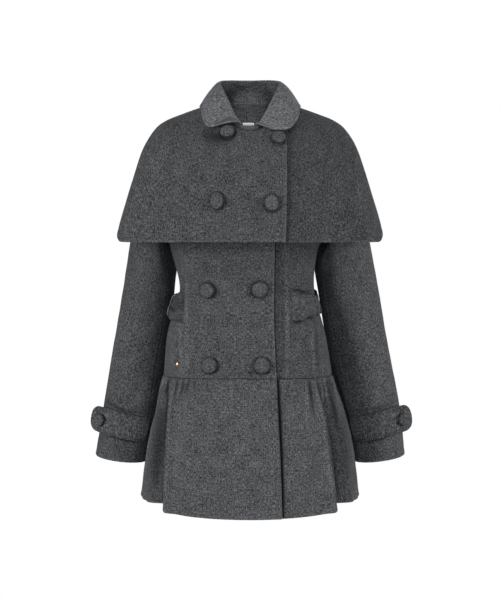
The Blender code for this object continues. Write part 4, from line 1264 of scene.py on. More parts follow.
def make_sleeve(side, look):
    """The upper piece, whose grain runs down the arm's front, and the piece under the arm."""
    surface, front = sleeve_form(side), -90 * SIDE_SIGN[side]
    first, last = UNDER_SLEEVE
    if side == "left":
        first, last = 360 - last, 360 - first
    down = places_down(surface, front, SLEEVE_END)
    finish = sleeve_folds[side], PAINTED_LIGHT_MARKS["sleeve"], "sewn sewn sewn hem"
    angle, place = spread(surface, fixed(last - 360), fixed(first), down)
    grain = int(np.abs(angle[0] - front).argmin())
    upper = f"sleeve_upper_{side}"
    cloth(upper, "hung", "back", surface, angle, place, look, 0.0, *finish, anchor=grain)
    angle, place = spread(surface, fixed(first), fixed(last), down)
    cloth(f"sleeve_under_{side}", "hung", upper, surface, angle, place, look, 0.0, *finish)


make_sleeve("right", WOOL)
make_sleeve("left", WOOL_PAINTED_PALER)
print("with the sleeves:", len(MADE), "pieces")

# %% [markdown]
# ## The cape
# The cape lies on the shoulders and stands free below them, over the upper arms. It is cut without
# fullness, so it has only broad, slow swells. It laps like the bodice.

# %% Cape
CAPE_SCALE = 3.3
CAPE_CREASES = [
    (1.6, 26, [(-190, -90), (-206, -150), (-214, -220)]),
    (-1.3, 20, [(-150, -110), (-160, -160), (-168, -225)]),
    (1.2, 24, [(-96, -120), (-104, -170), (-108, -225)]),
    (-1.0, 20, [(-48, -100), (-52, -150), (-54, -230)]),
    (-1.4, 20, [(110, -100), (124, -160), (132, -228)]),
    (1.3, 24, [(160, -110), (176, -165), (184, -222)]),
    (-1.3, 22, [(214, -110), (226, -165), (234, -215)]),
    (1.7, 28, [(420, -110), (430, -170), (434, -232)]),
    (-1.6, 24, [(490, -100), (494, -165), (498, -232)]),
    (1.4, 28, [(556, -90), (556, -160), (558, -232)]),
    (-1.6, 24, [(640, -100), (634, -165), (630, -232)]),
    (1.6, 28, [(716, -110), (708, -170), (704, -232)]),
]


cape_swells = folds_on(CAPE_CREASES, CAPE_SCALE, -130, (80, 0.5))


def cape_folds(angle, place, spots):
    return ease((place - 0.4) / 2.0) * cape_swells(angle, place, spots)


cape_under, cape_lap = line_on(cape, CAPE, "under_edge"), line_on(cape, CAPE, "lap_edge")
caping = cape, places_down(cape, 40, 7), "cape"

panel(
    "cape_front_right", "draped", "front_right", caping, (fixed(-90), cape_lap), WOOL_PAINTED_DARKER,
    together(cape_folds, at_edge(CAPE, 0.6, 6)), "sewn hem sewn hem",
    lift=(lambda place: cape_under(place) - 18, cape_under, CAPE_LAP), anchor="end",
)
panel(
    "cape_front_left", "draped", "front_left", caping, (cape_under, fixed(90)), WOOL_PAINTED_SHADE,
    together(cape_folds, beside_lap(CAPE, 0.9, 2.2)), "hem sewn sewn hem", through=cape_lap,
)
panel(
    "cape_back", "draped", "back", caping, (fixed(90), fixed(270)), WOOL_PAINTED_DARKER, cape_folds,
    "sewn sewn sewn hem", anchor="middle",
)
print("with the cape:", len(MADE), "pieces")

# %% [markdown]
# ## The collar
# A band stands up from the neck seam, and the turned-down part starts at its top, rolls over and
# falls on the cape. Its outer edge is a table of points on the cape, each lifted off it: the front
# tips stand off, and the back lies close. Between the roll and the edge, the cloth follows a curve
# pulled by two points above and outside it, which gives a soft, springy turn.

# %% Sizes of the collar
ROLL_HALF_WIDTH, ROLL_FRONT, ROLL_BACK = 55.5, 84, 53
ROLL = Rows("angle z", [
    (0, -40.5), (15, -38.5), (26, -27), (36, -12), (52, 12), (73, 33), (95, 39.5), (112, 44),
    (135, 47), (180, 48.5),
])
STAND_START, STAND_END = -16, 376
COLLAR_START, COLLAR_END = 11.5, 344.5
STAND_CLEAR, ROLL_CLEAR, ROLL_RISE = 0.5, 0.7, 2.5
COLLAR_EDGE = [            # angle on the roll line, the edge's own x and z, and its lift
    (11.5, 12.1, -36.5, 4.0), (20, 22.1, -42.7, 6.0), (31, 33.7, -50.6, 10.0),
    (41, 48, -54, 12.5), (50, 61, -52.5, 11.5), (58, 71.7, -46.3, 9.0), (66, 80.1, -34.4, 6.5),
    (76, 85.4, -21.7, 5.5), (88, 86.9, -10, 5.0), (272, -85.3, -9.6, 5.0),
    (284, -83.5, -21.1, 5.5), (295, -79.5, -35.7, 6.5), (303, -72.9, -45.6, 9.0),
    (312, -62.7, -48.2, 11.5), (322, -47.8, -45.6, 13.0), (333, -31.9, -41.3, 12.0),
    (344.5, -16.8, -36.5, 5.5),
]
COLLAR_EDGE_BACK = [       # angle on the roll line, degrees round the cape, its place, lift
    (102, 101, 0.46, 4.4), (116, 117, 0.46, 4.0), (132, 134, 0.49, 3.8), (156, 157, 0.55, 3.8),
    (180, 180, 0.58, 3.8),
]
print("collar edge:", len(COLLAR_EDGE), "points at the front and sides")

# %% Round the neck
def spot_on(surface, x, z, first, last):
    """The angle and place at which a surface's front passes this x and z."""
    def height(place):
        return surface(angle_at_x(surface, place, x), place)[..., 2]

    place = solve(height, z * MM, first, last, 24)
    return angle_at_x(surface, place, x), place


def roll_reach(angle):
    return np.where(np.cos(np.radians(angle)) > 0, ROLL_FRONT, ROLL_BACK)


def neck_out(angle):
    """Straight out from the neck's oval, level."""
    a = np.radians(angle)
    return unit(points(np.sin(a) / ROLL_HALF_WIDTH, -np.cos(a) / roll_reach(angle), 0))

# %% Roll line and stand
PRINCESS_AT_NECK = float(princess_right(0.0))
UNDER_EDGE_AT_NECK = float(under_edge(0.0))


def neck_lap(angle):
    """The lift of the lapping front's neck edge, near the stand's end."""
    run = UNDER_EDGE_AT_NECK - LAP_LEAD - PRINCESS_AT_NECK
    lift = LAP * ease((angle - 360 - PRINCESS_AT_NECK) / run)
    return np.where(angle < 300, 0.0, lift)[..., None]


def neck(angle):
    place = np.zeros(np.shape(angle))
    return body(angle, place) + normal(body, angle, place) * neck_lap(angle) * MM


def roll(angle):
    """The line on which the collar turns down, at the top of the stand."""
    a = np.radians(angle)
    z = ROLL.at(np.abs((angle + 180) % 360 - 180))["z"]
    line = points(ROLL_HALF_WIDTH * np.sin(a), -roll_reach(angle) * np.cos(a), z)
    return line + neck_out(angle) * neck_lap(angle) * MM


def upward(line, angle):
    """Up from a line round the neck, square to it."""
    return unit(np.cross(neck_out(angle), unit(line(angle + 1) - line(angle - 1))))


def stand(angle, place):
    """The band between the roll line (place 0) and the neck seam (place 1)."""
    foot = neck(angle) + upward(neck, angle) * STAND_CLEAR * MM
    return mix(roll(angle), foot, place[..., None])


print("stand's height at the back:", round(np.linalg.norm(roll(180.0) - neck(180.0)) / MM), "mm")

# %% Turned-down part
def edge_points():
    """The collar's outer edge, as points off the cape for angles on the roll line."""
    spots = [(at, spot_on(cape, x, z, -0.8, 3.0), lift) for at, x, z, lift in COLLAR_EDGE]
    for at, around, place, lift in COLLAR_EDGE_BACK:
        spots.append((at, (around, place), lift))
        if at < 180:
            spots.append((360 - at, (360 - around, place), lift))
    rows = []
    for at, spot, lift in spots:
        spot = [np.float64(value) for value in spot]
        rows.append((at, *(cape(*spot) / MM + normal(cape, *spot) * lift)))
    return Rows("angle x y z", sorted(rows))


EDGE_ROWS = edge_points()


def fall(angle, place):
    """The turned-down part, from the top of the stand (place 0) over the roll to its edge."""
    out, up = neck_out(angle), upward(roll, angle)
    start = roll(angle) - out * WALL * MM + up * ROLL_CLEAR * MM
    end = points(*EDGE_ROWS.at(angle).values())
    run = np.linalg.norm(end - start, axis=-1, keepdims=True)
    rise = start + up * (ROLL_RISE * MM + 0.10 * run)
    over = start + (end - start) * 0.30 + out * 0.07 * run + up * (ROLL_RISE * MM + 0.15 * run)
    t = place[..., None]
    return (
        start * (1 - t) ** 3 + rise * 3 * t * (1 - t) ** 2
        + over * 3 * t * t * (1 - t) + end * t ** 3
    )


down_back = fall(np.full(LINE_POINTS, 180.0), np.linspace(0, 1, LINE_POINTS))
print("collar's depth at the back:", round(run_length(down_back, 0)[-1]), "mm")

# %% Collar pieces
def stand_folds(angle, place, spots):
    return 0.35 * uneven(spots, 30) * np.sin(np.pi * np.clip(place, 0, 1))


def fall_folds(angle, place, spots):
    tip = bell((angle - 335) / 14) * bell((place - 0.93) / 0.16)
    return ease(place / 0.4) * (0.5 * uneven(spots, 34)) + 1.4 * tip


STAND_RUN, FALL_RUN, FALL_AROUND = 52, 64, 520       # millimetres of cloth, for the spacing
around = np.linspace(STAND_START, STAND_END, 150)
angle, place = np.meshgrid(around, spaced(STAND_RUN, 3.4, start=False))
cloth(
    "collar_stand", "hung", "back", stand, angle, place, WOOL, 0.0, stand_folds,
    edges="plain plain plain sewn", anchor="middle",
)
around = mix(COLLAR_START, COLLAR_END, spaced(FALL_AROUND, 3.6))
angle, place = np.meshgrid(around, spaced(FALL_RUN, 2.6, start=False))
cloth(
    "collar_fall", "folded", "collar_stand", fall, angle, place, WOOL_PAINTED_LIT, 0.0, fall_folds,
    PAINTED_LIGHT_MARKS["collar"], "stitched stitched plain stitched", anchor="middle",
)
print("with the collar:", len(MADE), "pieces")

# %% [markdown]
# ## Cuff straps
# A strap goes round each sleeve's front, above the hem. Its inner end is blunt, and its outer one
# is pointed and stands off, where a button holds it. It is a grid on the sleeve's own form, so it
# bends with the sleeve, and each row's height is narrowed towards both ends.

# %% Cuff straps
STRAP_FOOT, STRAP_HEIGHT = 45, 46
STRAP_START, STRAP_TIP = 141, 12           # degrees round the sleeve of its two ends
STRAP_POINT, STRAP_END_ROUND = 20, 7.0     # degrees over which its ends narrow
STRAP_NARROWING, STRAP_NARROW_FROM = 0.09, 60
STRAP_CLEAR, STRAP_STAND_OFF, STRAP_BEND = 3.7, 16.5, 78


def strap_lift(turn):
    away = np.maximum((STRAP_BEND - turn) / (STRAP_BEND - STRAP_TIP), 0)
    return STRAP_CLEAR + STRAP_STAND_OFF * away ** 1.35


STRAP_SLANT = Rows("turn down", [
    (12, -0.6), (34, -0.8), (60, 0.0), (90, 1.8), (120, 4.0), (145, 5.0),
])


def strap_middle(side, turn):
    """The place at half the strap's height, which drops towards its inner end, and the half."""
    length = np.linalg.norm(sleeve(side, 90, SLEEVE_END) - sleeve(side, 90, SLEEVE_END - 1)) / MM
    up = STRAP_FOOT + STRAP_HEIGHT / 2 - STRAP_SLANT.at(turn)["down"]
    return SLEEVE_END - up / length, STRAP_HEIGHT / 2 / length


def make_strap(side):
    tip = STRAP_TIP + STRAP_POINT * np.cos(np.linspace(0, np.pi / 2, 20))
    straight = mix(STRAP_START, STRAP_TIP + STRAP_POINT, spaced(95, 3.0, end=False))
    turns = np.concatenate([straight[:-1], tip])
    pointed = np.sqrt(1 - np.clip(1 - (turns - STRAP_TIP) / STRAP_POINT, 0, 0.985) ** 2.4)
    blunt = np.clip(1 - (STRAP_START - turns) / STRAP_END_ROUND, 0, 0.96)
    narrowed = 1 - STRAP_NARROWING * ease((STRAP_NARROW_FROM - turns) / 40)
    share = pointed * np.sqrt(1 - 0.75 * blunt ** 2) * narrowed
    turn, s = np.meshgrid(turns, 2 * spaced(STRAP_HEIGHT, 3.0) - 1)
    middle, half = strap_middle(side, turn)
    place = middle + half * s * share[None, :]

    def folds(angle, place, spots):
        return sleeve_folds[side](angle, place, spots) + 0.3 * uneven(spots, 22)

    cloth(
        f"cuff_strap_{side}", "laid", f"sleeve_upper_{side}", sleeve_form(side),
        turn * -SIDE_SIGN[side], place, WOOL_PAINTED_PALER, strap_lift(turn), folds, PAINTED_LIGHT_MARKS["strap"], "twice",
    )


for side in SIDE_SIGN:
    make_strap(side)
print("with the straps:", len(MADE), "pieces")

# %% [markdown]
# ## Half belt and its loops
# The half belt goes across the back from seam to seam, through a cloth loop at each side, which
# pinches it into small lengthwise folds. Its ends are thinned and sink into the princess seams. A
# loop is a narrow strip that bows out over the belt and turns in at the top and foot.

# %% Half belt
BELT = Rows("angle top foot lift", [
    (25, -325, -377, 3.6), (34, -326, -377, 3.8), (43, -328, -376, 4.4), (50, -330.5, -371, 4.6),
    (58, -332, -369, 4.6), (65, -333, -370, 4.6), (71, -340, -371, 4.2), (80, -338, -366, 5.0),
    (95, -330, -371, 5.6), (120, -325, -373, 4.4), (180, -325, -373, 4.4), (240, -325, -373, 4.4),
    (256, -332, -370, 5.5), (269, -337, -372, 7.8), (276, -336, -374, 8.8), (284, -333, -378, 8.0),
    (293, -331, -379, 6.2), (304, -329, -379, 4.6), (318, -326, -377, 3.8),
])
KEEPERS = {                # angle, middle height, height, and how far its bow stands off
    "right": (274.5, -356, 42, 13.0), "left": (70, -353, 36, 7.6),
}
KEEPER_WIDTH = 11
BELT_MIDDLE, BELT_HALF = -351, 25


def belt_place(height):
    """The place on the body at this height, below the underarm."""
    return solve(lambda place: BODY.at(place)["z_side"], height, UNDERARM, 8)


share, s = np.meshgrid(spaced(500, 2.6), 1 - 2 * spaced(48, 2.6))     # s: 1 at the top, -1 below
row_place = belt_place(BELT_MIDDLE + BELT_HALF * s[:, :1])
belt_start, belt_end = princess_left(row_place), 360 + princess_right(row_place)
angle = mix(belt_start, belt_end, share)
sewn_in = ease(np.minimum(angle - belt_start, belt_end - angle) / 6)
belt = BELT.at(angle)
ragged = 0.5 * np.sin(angle * 0.21 + 0.8) + 0.4 * np.sin(angle * 0.47 + 2.0)
place = belt_place(mix(belt["foot"], belt["top"], (s + 1) / 2) + ragged)
near = np.minimum(np.abs(angle - KEEPERS["left"][0]), np.abs(angle - KEEPERS["right"][0]))
pinched = 0.9 * bell(near / 13) * np.cos(3.2 * np.pi * s + 0.6)
pinched = pinched + 1.6 * bell(near / 22) * (1 - s * s)
cloth(
    "waist_belt", "laid", "back", body, angle, place, WOOL,
    mix(-1.2, belt["lift"] + pinched, sewn_in), body_folds, PAINTED_LIGHT_MARKS["belt"],
    "plain plain shaded shaded", wall=mix(0.8, WALL, sewn_in), anchor="middle",
)
print("with the belt:", len(MADE), "pieces")

# %% Belt loops
KEEPER_SHAPE = [(0.5, 0.3), (0.49, 0.62), (0.36, 0.93), (0, 1)]     # shares of height and bow
KEEPER_SHAPE += [(-height, bow) for height, bow in KEEPER_SHAPE[-2::-1]]


def make_keeper(side, look):
    at, middle, tall, bow = KEEPERS[side]
    reach = math.degrees(KEEPER_WIDTH / 2 / BODY.at(6)["half_width"])
    heights, lifts = np.transpose(KEEPER_SHAPE)
    table = np.column_stack([np.arange(len(heights)), heights, lifts * bow])
    line = Rows("t height lift", table).at(np.linspace(0, len(heights) - 1, 31))
    angle, height = np.meshgrid(at + reach * np.linspace(-1, 1, 9), line["height"])
    lift = np.broadcast_to(line["lift"][:, None], angle.shape)
    place = belt_place(middle + tall * height)
    node = f"belt_keeper_{side}"
    cloth(node, "folded", "waist_belt", body, angle, place, look, lift, body_folds)


make_keeper("right", WOOL_PAINTED_LIT)
make_keeper("left", WOOL)
print("with the loops:", len(MADE), "pieces")

# %% [markdown]
# ## Neck label
# A plain ribbon is sewn inside the back of the neck. It lies on the back's inner side, which is the
# body's form drawn in by the cloth's thickness.

# %% Neck label
LABEL_WIDTH, LABEL_TOP, LABEL_BOTTOM, LABEL_WALL, LABEL_CLEAR = 25, -21, -46, 0.6, 1.0
LABEL_TURN = 1.4           # degrees that it sits to one side of the middle


def inner_back(angle, place):
    return body(angle, place) - normal(body, angle, place) * (WALL + LABEL_CLEAR) * MM


def back_place(height):
    return solve(lambda p: body(np.float64(180), p)[..., 2], height * MM, 0.2, 3)


label_top, label_foot = back_place(np.float64(LABEL_TOP)), back_place(np.float64(LABEL_BOTTOM))
label_start = float(angle_at_x(body, (label_top + label_foot) / 2, LABEL_WIDTH / 2, back=True))
angle, place = np.meshgrid(
    np.linspace(label_start, 360 - label_start, 27) + LABEL_TURN,
    np.linspace(label_top, label_foot, 13),
)
cloth(
    "neck_label", "laid", "back", inner_back, angle, place, SATIN, 0.0, None, wall=LABEL_WALL,
    anchor="middle", kind="ribbon",
)
print("with the label:", len(MADE), "pieces")

# %% [markdown]
# ## Covered buttons
# A covered button is a shallow metal dome with a disc of the coat's own cloth drawn over it and
# tucked in behind, on a short thread shank. The profile is turned round its axis, and small tucks
# ripple its rim, deeper towards the back. The brass stud on the wearer's right side is turned the
# same way, without tucks.

# %% Profiles of the button and stud
BUTTON_PROFILE = [         # radius and height, from the middle of the dome round to the shank
    (0, 8.5), (2.5, 8.45), (5, 8.15), (7.5, 7.6), (9.6, 6.9), (11.3, 6.05), (12.6, 5.1),
    (13.4, 4.1), (13.75, 3.1), (13.55, 2.2), (12.8, 1.55), (11.2, 1.2), (8.0, 1.15), (4.4, 1.2),
    (4.0, 0.8), (3.9, 0.0), (0, 0.0),
]
STUD_PROFILE = [
    (0, 2.5), (1.2, 2.45), (2.2, 2.2), (3.0, 1.8), (3.5, 1.35), (3.7, 1.0), (4.1, 1.05),
    (4.4, 0.85), (4.5, 0.5), (4.4, 0.15), (4.1, 0), (0, 0),
]
BUTTON_SIDES, BUTTON_TUCKS, TUCK_DEPTH = 40, 11, 0.22
print("a covered button:", 2 * max(radius for radius, _ in BUTTON_PROFILE), "mm across")

# %% Turned pieces
def axes_on(out):
    """Across, up and out: the three directions of a piece that faces out from the cloth."""
    out = np.array(out) / np.linalg.norm(out)
    across = unit(np.cross(out, np.array([0.0, 0.0, 1.0])) * -1)
    return np.array([across, np.cross(out, across), out])


def turned_round(name, profile, look, foot, out, shares=(1.0, 1.0), scale=1.0, tucks=0.0,
                 sides=BUTTON_SIDES):
    """A piece turned from a profile, standing on a foot with its axis along out."""
    profile = np.array(profile, float) * scale
    turn = np.linspace(0, 2 * np.pi, sides, endpoint=False)
    rings = []
    for radius, height in profile[1:-1]:
        ripple = tucks * np.sin(BUTTON_TUCKS * turn + 1.3)
        r = radius + ripple * ease((6.2 - height) / 3.4) * ease(radius / 9)
        x, y = r * np.cos(turn) * shares[0], r * np.sin(turn) * shares[1]
        rings.append(np.column_stack([x, y, np.full(sides, height)]))
    local = np.vstack([[0, 0, profile[0, 1]], *rings, [0, 0, profile[-1, 1]]])
    last_ring = 1 + (len(rings) - 1) * sides
    faces = []
    for k in range(sides):
        after = (k + 1) % sides
        faces.append((0, 1 + k, 1 + after))
        for a in range(1, last_ring, sides):
            faces.append((a + k, a + sides + k, a + sides + after, a + after))
        faces.append((last_ring + k, len(local) - 1, last_ring + after))
    spots = np.array(foot) + local * MM @ axes_on(out)
    weave_from = sum(map(ord, name)) % 97 * 0.011      # another part of the cloth on each button
    # the dome a little paler, its rim and underside darker: painted shade where the button's edge
    # meets the cloth
    rim_painted_shade = 1.08 - 0.9 * ease((6.5 - local[:, 2] / scale) / 2.6)
    return mesh_object(name, spots, faces, look, local[:, :2] * MM + weave_from, rim_painted_shade)


def covered(name, look, foot, out, **size):
    full_name = f"{name}_covered"
    return turned_round(full_name, BUTTON_PROFILE, look, foot, out, tucks=TUCK_DEPTH, **size)

# %% Points on the cloth
BUTTON_CLEAR, CUFF_BUTTON_CLEAR, CUFF_BUTTON_SCALE = 0.8, 0.4, 0.88
STRAP_BUTTON_ANGLE = {"right": 38, "left": 37}
STUD_X, STUD_Z = -128, -453.5
FORMS = {                  # a form, its last place, how far its cloth is lifted, its folds
    "cape": (cape, 7.0, CAPE_LAP, cape_folds), "body": (body, 8.0, LAP, body_folds),
    "side": (body, 8.0, 0.35, body_folds),
}


def turned_about_z(vector, degrees):
    a = math.radians(degrees)
    c, s = math.cos(a), math.sin(a)
    return np.array([vector[0] * c - vector[1] * s, vector[0] * s + vector[1] * c, vector[2]])


def on_cloth(form, x, z):
    """A point on the outside of the cloth, and the direction out of it."""
    surface, last, lift, folds = FORMS[form]
    angle, place = (np.reshape(value, (1, 1)) for value in spot_on(surface, x, z, 0.0, last))
    base, out = surface(angle, place), normal(surface, angle, place)
    height = lift + folds(angle, place, base)
    return (base + out * height[..., None] * MM)[0, 0], out[0, 0]


def cuff_button(side):
    """The button that holds a strap's point, standing square on the strap."""
    surface, way, turn = sleeve_form(side), -SIDE_SIGN[side], STRAP_BUTTON_ANGLE[side]
    middle, _ = strap_middle(side, turn)

    def on_strap(turn):
        at, place = np.full((1, 1), float(turn) * way), np.full((1, 1), middle)
        base = surface(at, place)
        lift = strap_lift(turn) + sleeve_folds[side](at, place, base)
        return (base + normal(surface, at, place) * (lift * MM)[..., None])[0, 0]

    run = unit(on_strap(turn + 4) - on_strap(turn - 4))
    out = normal(surface, np.float64(turn * way), np.float64(middle))
    out = unit(out - run * np.dot(out, run))
    foot = on_strap(turn) + out * CUFF_BUTTON_CLEAR * MM
    return covered(f"cuff_button_{side}", WOOL_PAINTED_DARKER, foot, out, scale=CUFF_BUTTON_SCALE)

# %% Buttons and stud
buttons = {}
for name, form, x, z, wide, tall, turn in BUTTONS:
    point, out = on_cloth(form, x, z)
    foot = point + out * BUTTON_CLEAR * MM
    buttons[name] = covered(
        name, BUTTON_WOOL, foot, turned_about_z(out, turn), shares=(wide, tall),
    )
for side in SIDE_SIGN:
    buttons[f"cuff_button_{side}"] = cuff_button(side)
point, out = on_cloth("side", STUD_X, STUD_Z)
front_stud = turned_round("front_stud_brass", STUD_PROFILE, BRASS, point, out, sides=32)
print("buttons:", len(buttons), "and", front_stud.name)

# %% [markdown]
# ## Topstitching
# A row of machine stitches holds each strap, belt and collar edge flat. A stitch is a short thread
# that dips into the cloth at both ends, so each one is a small, flat bead. Thousands of them follow
# a few lines, which is work for Geometry Nodes: the tree takes a line, puts points on it at the
# stitch spacing, and turns one bead along the line at each point.

# %% Stitch tree
def stitch_tree():
    tree = bpy.data.node_groups.new("stitches", "GeometryNodeTree")
    face = tree.interface
    face.new_socket("Line", in_out="INPUT", socket_type="NodeSocketGeometry")
    for name, value in (("Spacing", 0.0038), ("Stitch length", 0.0028), ("Thread", 0.0005)):
        face.new_socket(name, in_out="INPUT", socket_type="NodeSocketFloat").default_value = value
    face.new_socket("Thread finish", in_out="INPUT", socket_type="NodeSocketMaterial")
    face.new_socket("Stitches", in_out="OUTPUT", socket_type="NodeSocketGeometry")

    def add(kind, **settings):
        made = tree.nodes.new(kind)
        for name, value in settings.items():
            setattr(made, name, value)
        return made

    start, end = add("NodeGroupInput"), add("NodeGroupOutput")
    curve = add("GeometryNodeMeshToCurve")
    even = add("GeometryNodeResampleCurve", mode="LENGTH")
    along = add("GeometryNodeInputTangent")
    keep = add("GeometryNodeCaptureAttribute", domain="POINT")
    keep.capture_items.new("VECTOR", "along")
    turn = add("FunctionNodeAlignRotationToVector", axis="X")
    bead = add("GeometryNodeMeshUVSphere")
    bead.inputs["Segments"].default_value = 6
    bead.inputs["Rings"].default_value = 4
    half = add("ShaderNodeMath", operation="MULTIPLY")
    half.inputs[1].default_value = 0.5
    size = add("ShaderNodeCombineXYZ")
    shaped = add("GeometryNodeTransform")
    copies = add("GeometryNodeInstanceOnPoints")
    whole = add("GeometryNodeRealizeInstances")
    smooth = add("GeometryNodeSetShadeSmooth")
    finish = add("GeometryNodeSetMaterial")
    for source, output, target, into in (
        (start, "Line", curve, "Mesh"), (curve, "Curve", even, "Curve"),
        (start, "Spacing", even, "Length"), (even, "Curve", keep, "Geometry"),
        (along, "Tangent", keep, "along"), (keep, "along", turn, "Vector"),
        (start, "Stitch length", half, 0), (half, 0, size, "X"),
        (start, "Thread", size, "Y"), (start, "Thread", size, "Z"),
        (bead, "Mesh", shaped, "Geometry"), (size, "Vector", shaped, "Scale"),
        (keep, "Geometry", copies, "Points"), (shaped, "Geometry", copies, "Instance"),
        (turn, "Rotation", copies, "Rotation"), (copies, "Instances", whole, "Geometry"),
        (whole, "Geometry", smooth, "Geometry"), (smooth, "Geometry", finish, "Geometry"),
        (start, "Thread finish", finish, "Material"), (finish, "Geometry", end, "Stitches"),
    ):
        tree.links.new(source.outputs[output], target.inputs[into])
    return tree


STITCHES = stitch_tree()
print("stitch tree:", len(STITCHES.nodes), "nodes")

# %% Stitching
def stitched(name, lines, spacing=3.8, length=2.9, thread=0.42, look=THREAD):
    """Rows of stitches along lines of points, as one plain mesh. The sizes are in millimetres."""
    spots, edges = [], []
    for line in lines:
        first = len(spots)
        spots += line.tolist()
        edges += [(k, k + 1) for k in range(first, len(spots) - 1)]
    mesh = bpy.data.meshes.new(name + "_lines")
    mesh.from_pydata(spots, edges, [])
    guide = placed(name + "_lines", mesh)
    made = guide.modifiers.new("Stitches", "NODES")
    made.node_group = STITCHES
    socket = {item.name: item.identifier for item in STITCHES.interface.items_tree}
    made[socket["Spacing"]] = spacing * MM
    made[socket["Stitch length"]] = length * MM
    made[socket["Thread"]] = thread * MM
    made[socket["Thread finish"]] = look
    bpy.context.view_layer.update()
    graph = bpy.context.evaluated_depsgraph_get()
    result = bpy.data.meshes.new_from_object(guide.evaluated_get(graph))
    bpy.data.objects.remove(guide, do_unlink=True)
    result.name = name
    places = np.array([vertex.co for vertex in result.vertices])
    add_maps(result, places[:, [0, 2]], np.ones(len(places)))
    return placed(name, result)

# %% Topstitches
STITCHED_IN, CUFF_ROWS_IN = 6.0, (4.0, 7.0)      # millimetres from an edge to its stitches
stitches = {
    "collar_fall": stitched("collar_topstitch", [
        line_beside("collar_fall", "foot", STITCHED_IN, 6.0),
        line_beside("collar_fall", "start", STITCHED_IN, 10.0)[:-2],
        line_beside("collar_fall", "end", STITCHED_IN, 10.0)[:-2],
    ]),
    "waist_belt": stitched("belt_topstitch", [
        line_beside("waist_belt", edge, STITCHED_IN) for edge in ("top", "foot")
    ]),
}
for side in SIDE_SIGN:
    stitches[f"cuff_strap_{side}"] = stitched(f"cuff_topstitch_{side}", [
        line_beside(f"cuff_strap_{side}", edge, distance)
        for edge in ("top", "foot") for distance in CUFF_ROWS_IN
    ])
print("stitches:", {name: len(piece.data.polygons) for name, piece in stitches.items()})

# %% [markdown]
# ## What each piece stands for
# Every piece rides on the coat, and all but the stitches take the place of a solid. The size each
# cloth piece was cut to is printed: its greatest width and length, and the area of the cut. The
# widths of the gathered pieces are those before they are gathered.

# %% Size of a cut
def cut_size(grid):
    """The flat width, length and area of a finished wall, measured along its own cloth."""
    across, down = run_length(grid, 1), run_length(grid, 0)
    a = grid[1:, :-1] - grid[:-1, :-1]
    b = grid[:-1, 1:] - grid[:-1, :-1]
    width, length = across[:, -1].max() * MM, down[-1].max() * MM
    return width, length, min(np.linalg.norm(np.cross(a, b), axis=-1).sum(), width * length)

# %% Pieces on the coat
def on_coat(piece, slot, node=None):
    """Every piece rides on the coat's one body, and most take the place of a solid."""
    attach(piece, "root")
    if node:
        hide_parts(node)


for node, made in MADE.items():
    piece = made["piece"]
    on_coat(piece, "label_white" if node == "neck_label" else "charcoal_wool", node)
    width, length, area = cut_size(made["grid"])
    [stitches[node]] if node in stitches else []
    print(f"{node}: cut {width * 1000:.0f} x {length * 1000:.0f} mm, {area * 1e4:.0f} cm2")
for piece in stitches.values():
    on_coat(piece, "charcoal_wool")
for node, piece in buttons.items():
    on_coat(piece, "covered_button", node)
on_coat(front_stud, "brass", "front_stud")

# %% [markdown]
# ## Studio
# A pale, round floor lies far below, as under someone who stands. Two large soft lamps at the
# sides model the folds, and two small ones in front, high and low, keep the middle from going dark.
# One behind lights the back, and a narrow beam reaches the lining inside the neck. The world is
# white to the camera and dim to the cloth, so the background stays plain and the folds keep their
# shadows. The camera stands 2.3 m away at chest height and looks slightly down.

# %% Floor
FLOOR_Z, FLOOR_RADIUS = -1.45, 1.25
turn = np.linspace(0, 2 * np.pi, 96, endpoint=False)
rim = [(FLOOR_RADIUS * math.cos(t), FLOOR_RADIUS * math.sin(t), FLOOR_Z) for t in turn]
mesh = bpy.data.meshes.new("floor")
mesh.from_pydata(rim, [], [tuple(range(len(rim)))])
pale = Look("floor_pale")
pale.constants(Base_Color=(0.90, 0.90, 0.90, 1), Roughness=0.9)
mesh.materials.append(pale.material)
floor = placed("floor", mesh)
print("floor:", FLOOR_Z, "m")

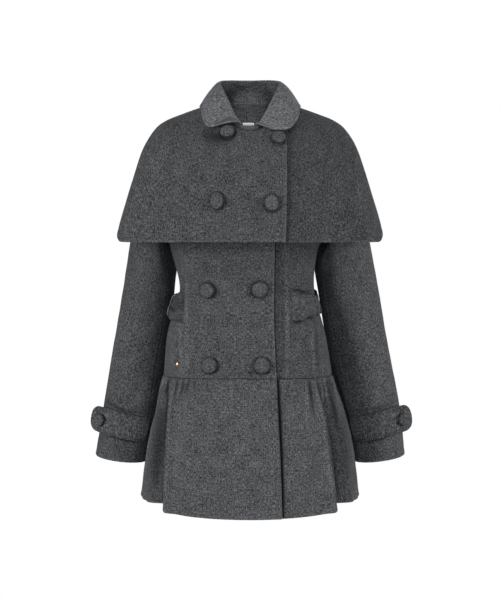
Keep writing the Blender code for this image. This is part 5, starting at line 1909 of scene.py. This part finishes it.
# %% World
ROOM_LIGHT = 0.08          # how much light comes from the room itself, from everywhere
bpy.context.scene.view_settings.view_transform = "Standard"
bpy.context.scene.view_settings.look = "None"
world = bpy.data.worlds.new("studio")
bpy.context.scene.world = world
world.use_nodes = True
nodes, links = world.node_tree.nodes, world.node_tree.links
backdrop, room = nodes["Background"], nodes.new("ShaderNodeBackground")
for background, colour, strength in (
    (backdrop, (1, 1, 1, 1), 1.0), (room, (0.96, 0.98, 1, 1), ROOM_LIGHT),
):
    background.inputs["Color"].default_value = colour
    background.inputs["Strength"].default_value = strength
seen = nodes.new("ShaderNodeLightPath")
either = nodes.new("ShaderNodeMixShader")
links.new(seen.outputs["Is Camera Ray"], either.inputs[0])
links.new(room.outputs[0], either.inputs[1])
links.new(backdrop.outputs[0], either.inputs[2])
links.new(either.outputs[0], nodes["World Output"].inputs["Surface"])
print("room light:", ROOM_LIGHT)

# %% Lamps
def aimed(name, data, place, aim):
    """A lamp or camera that stands at a place and looks at a point."""
    made = placed(name, data)
    made.location = place
    made.rotation_euler = (Vector(aim) - Vector(place)).to_track_quat("-Z", "Y").to_euler()
    return made


LAMPS = [                  # name, place, what it is aimed at, watts, size in metres
    ("left_lamp", (-2.2, -1.75, 0.08), (0, 0, -0.38), 58, (1.0, 1.2)),
    ("right_lamp", (2.6, -0.9, 0.1), (0, 0, -0.38), 54, (1.0, 1.2)),
    ("front_lamp", (-0.2, -1.6, 1.7), (0, 0, -0.38), 14, (0.7, 0.7)),
    ("low_lamp", (0, -3.0, -0.5), (0, 0, -0.5), 9, (1.0, 0.9)),
    ("back_lamp", (0.5, 2.8, 0.8), (0, 0, -0.4), 34, (1.8, 1.6)),
]
for name, place, aim, watts, size in LAMPS:
    lamp = bpy.data.lights.new(name, "AREA")
    lamp.energy, lamp.shape = watts, "RECTANGLE"
    lamp.size, lamp.size_y = size
    aimed(name, lamp, place, aim)
beam = bpy.data.lights.new("neck_lamp", "SPOT")
beam.energy, beam.shadow_soft_size = 150, 0.01
beam.spot_size, beam.spot_blend = math.radians(1.9), 0.6
aimed("neck_lamp", beam, (0, -2.25, -0.16), (0, 0.084, 0.004))
print("lamps:", len(LAMPS) + 1)

# %% Camera
EYE, AIM = Vector((0, -2.3, -0.2016)), Vector((0, 0, -0.3456))
VIEW_HEIGHT = 1.08         # metres of the coat's middle plane that the picture's height covers
view = bpy.data.cameras.new("camera")
view.sensor_fit = "VERTICAL"
view.sensor_height = 36.0
view.lens = view.sensor_height * (AIM - EYE).length / VIEW_HEIGHT
bpy.context.scene.camera = aimed("camera", view, EYE, AIM)
print("camera lens:", round(view.lens, 1), "mm")
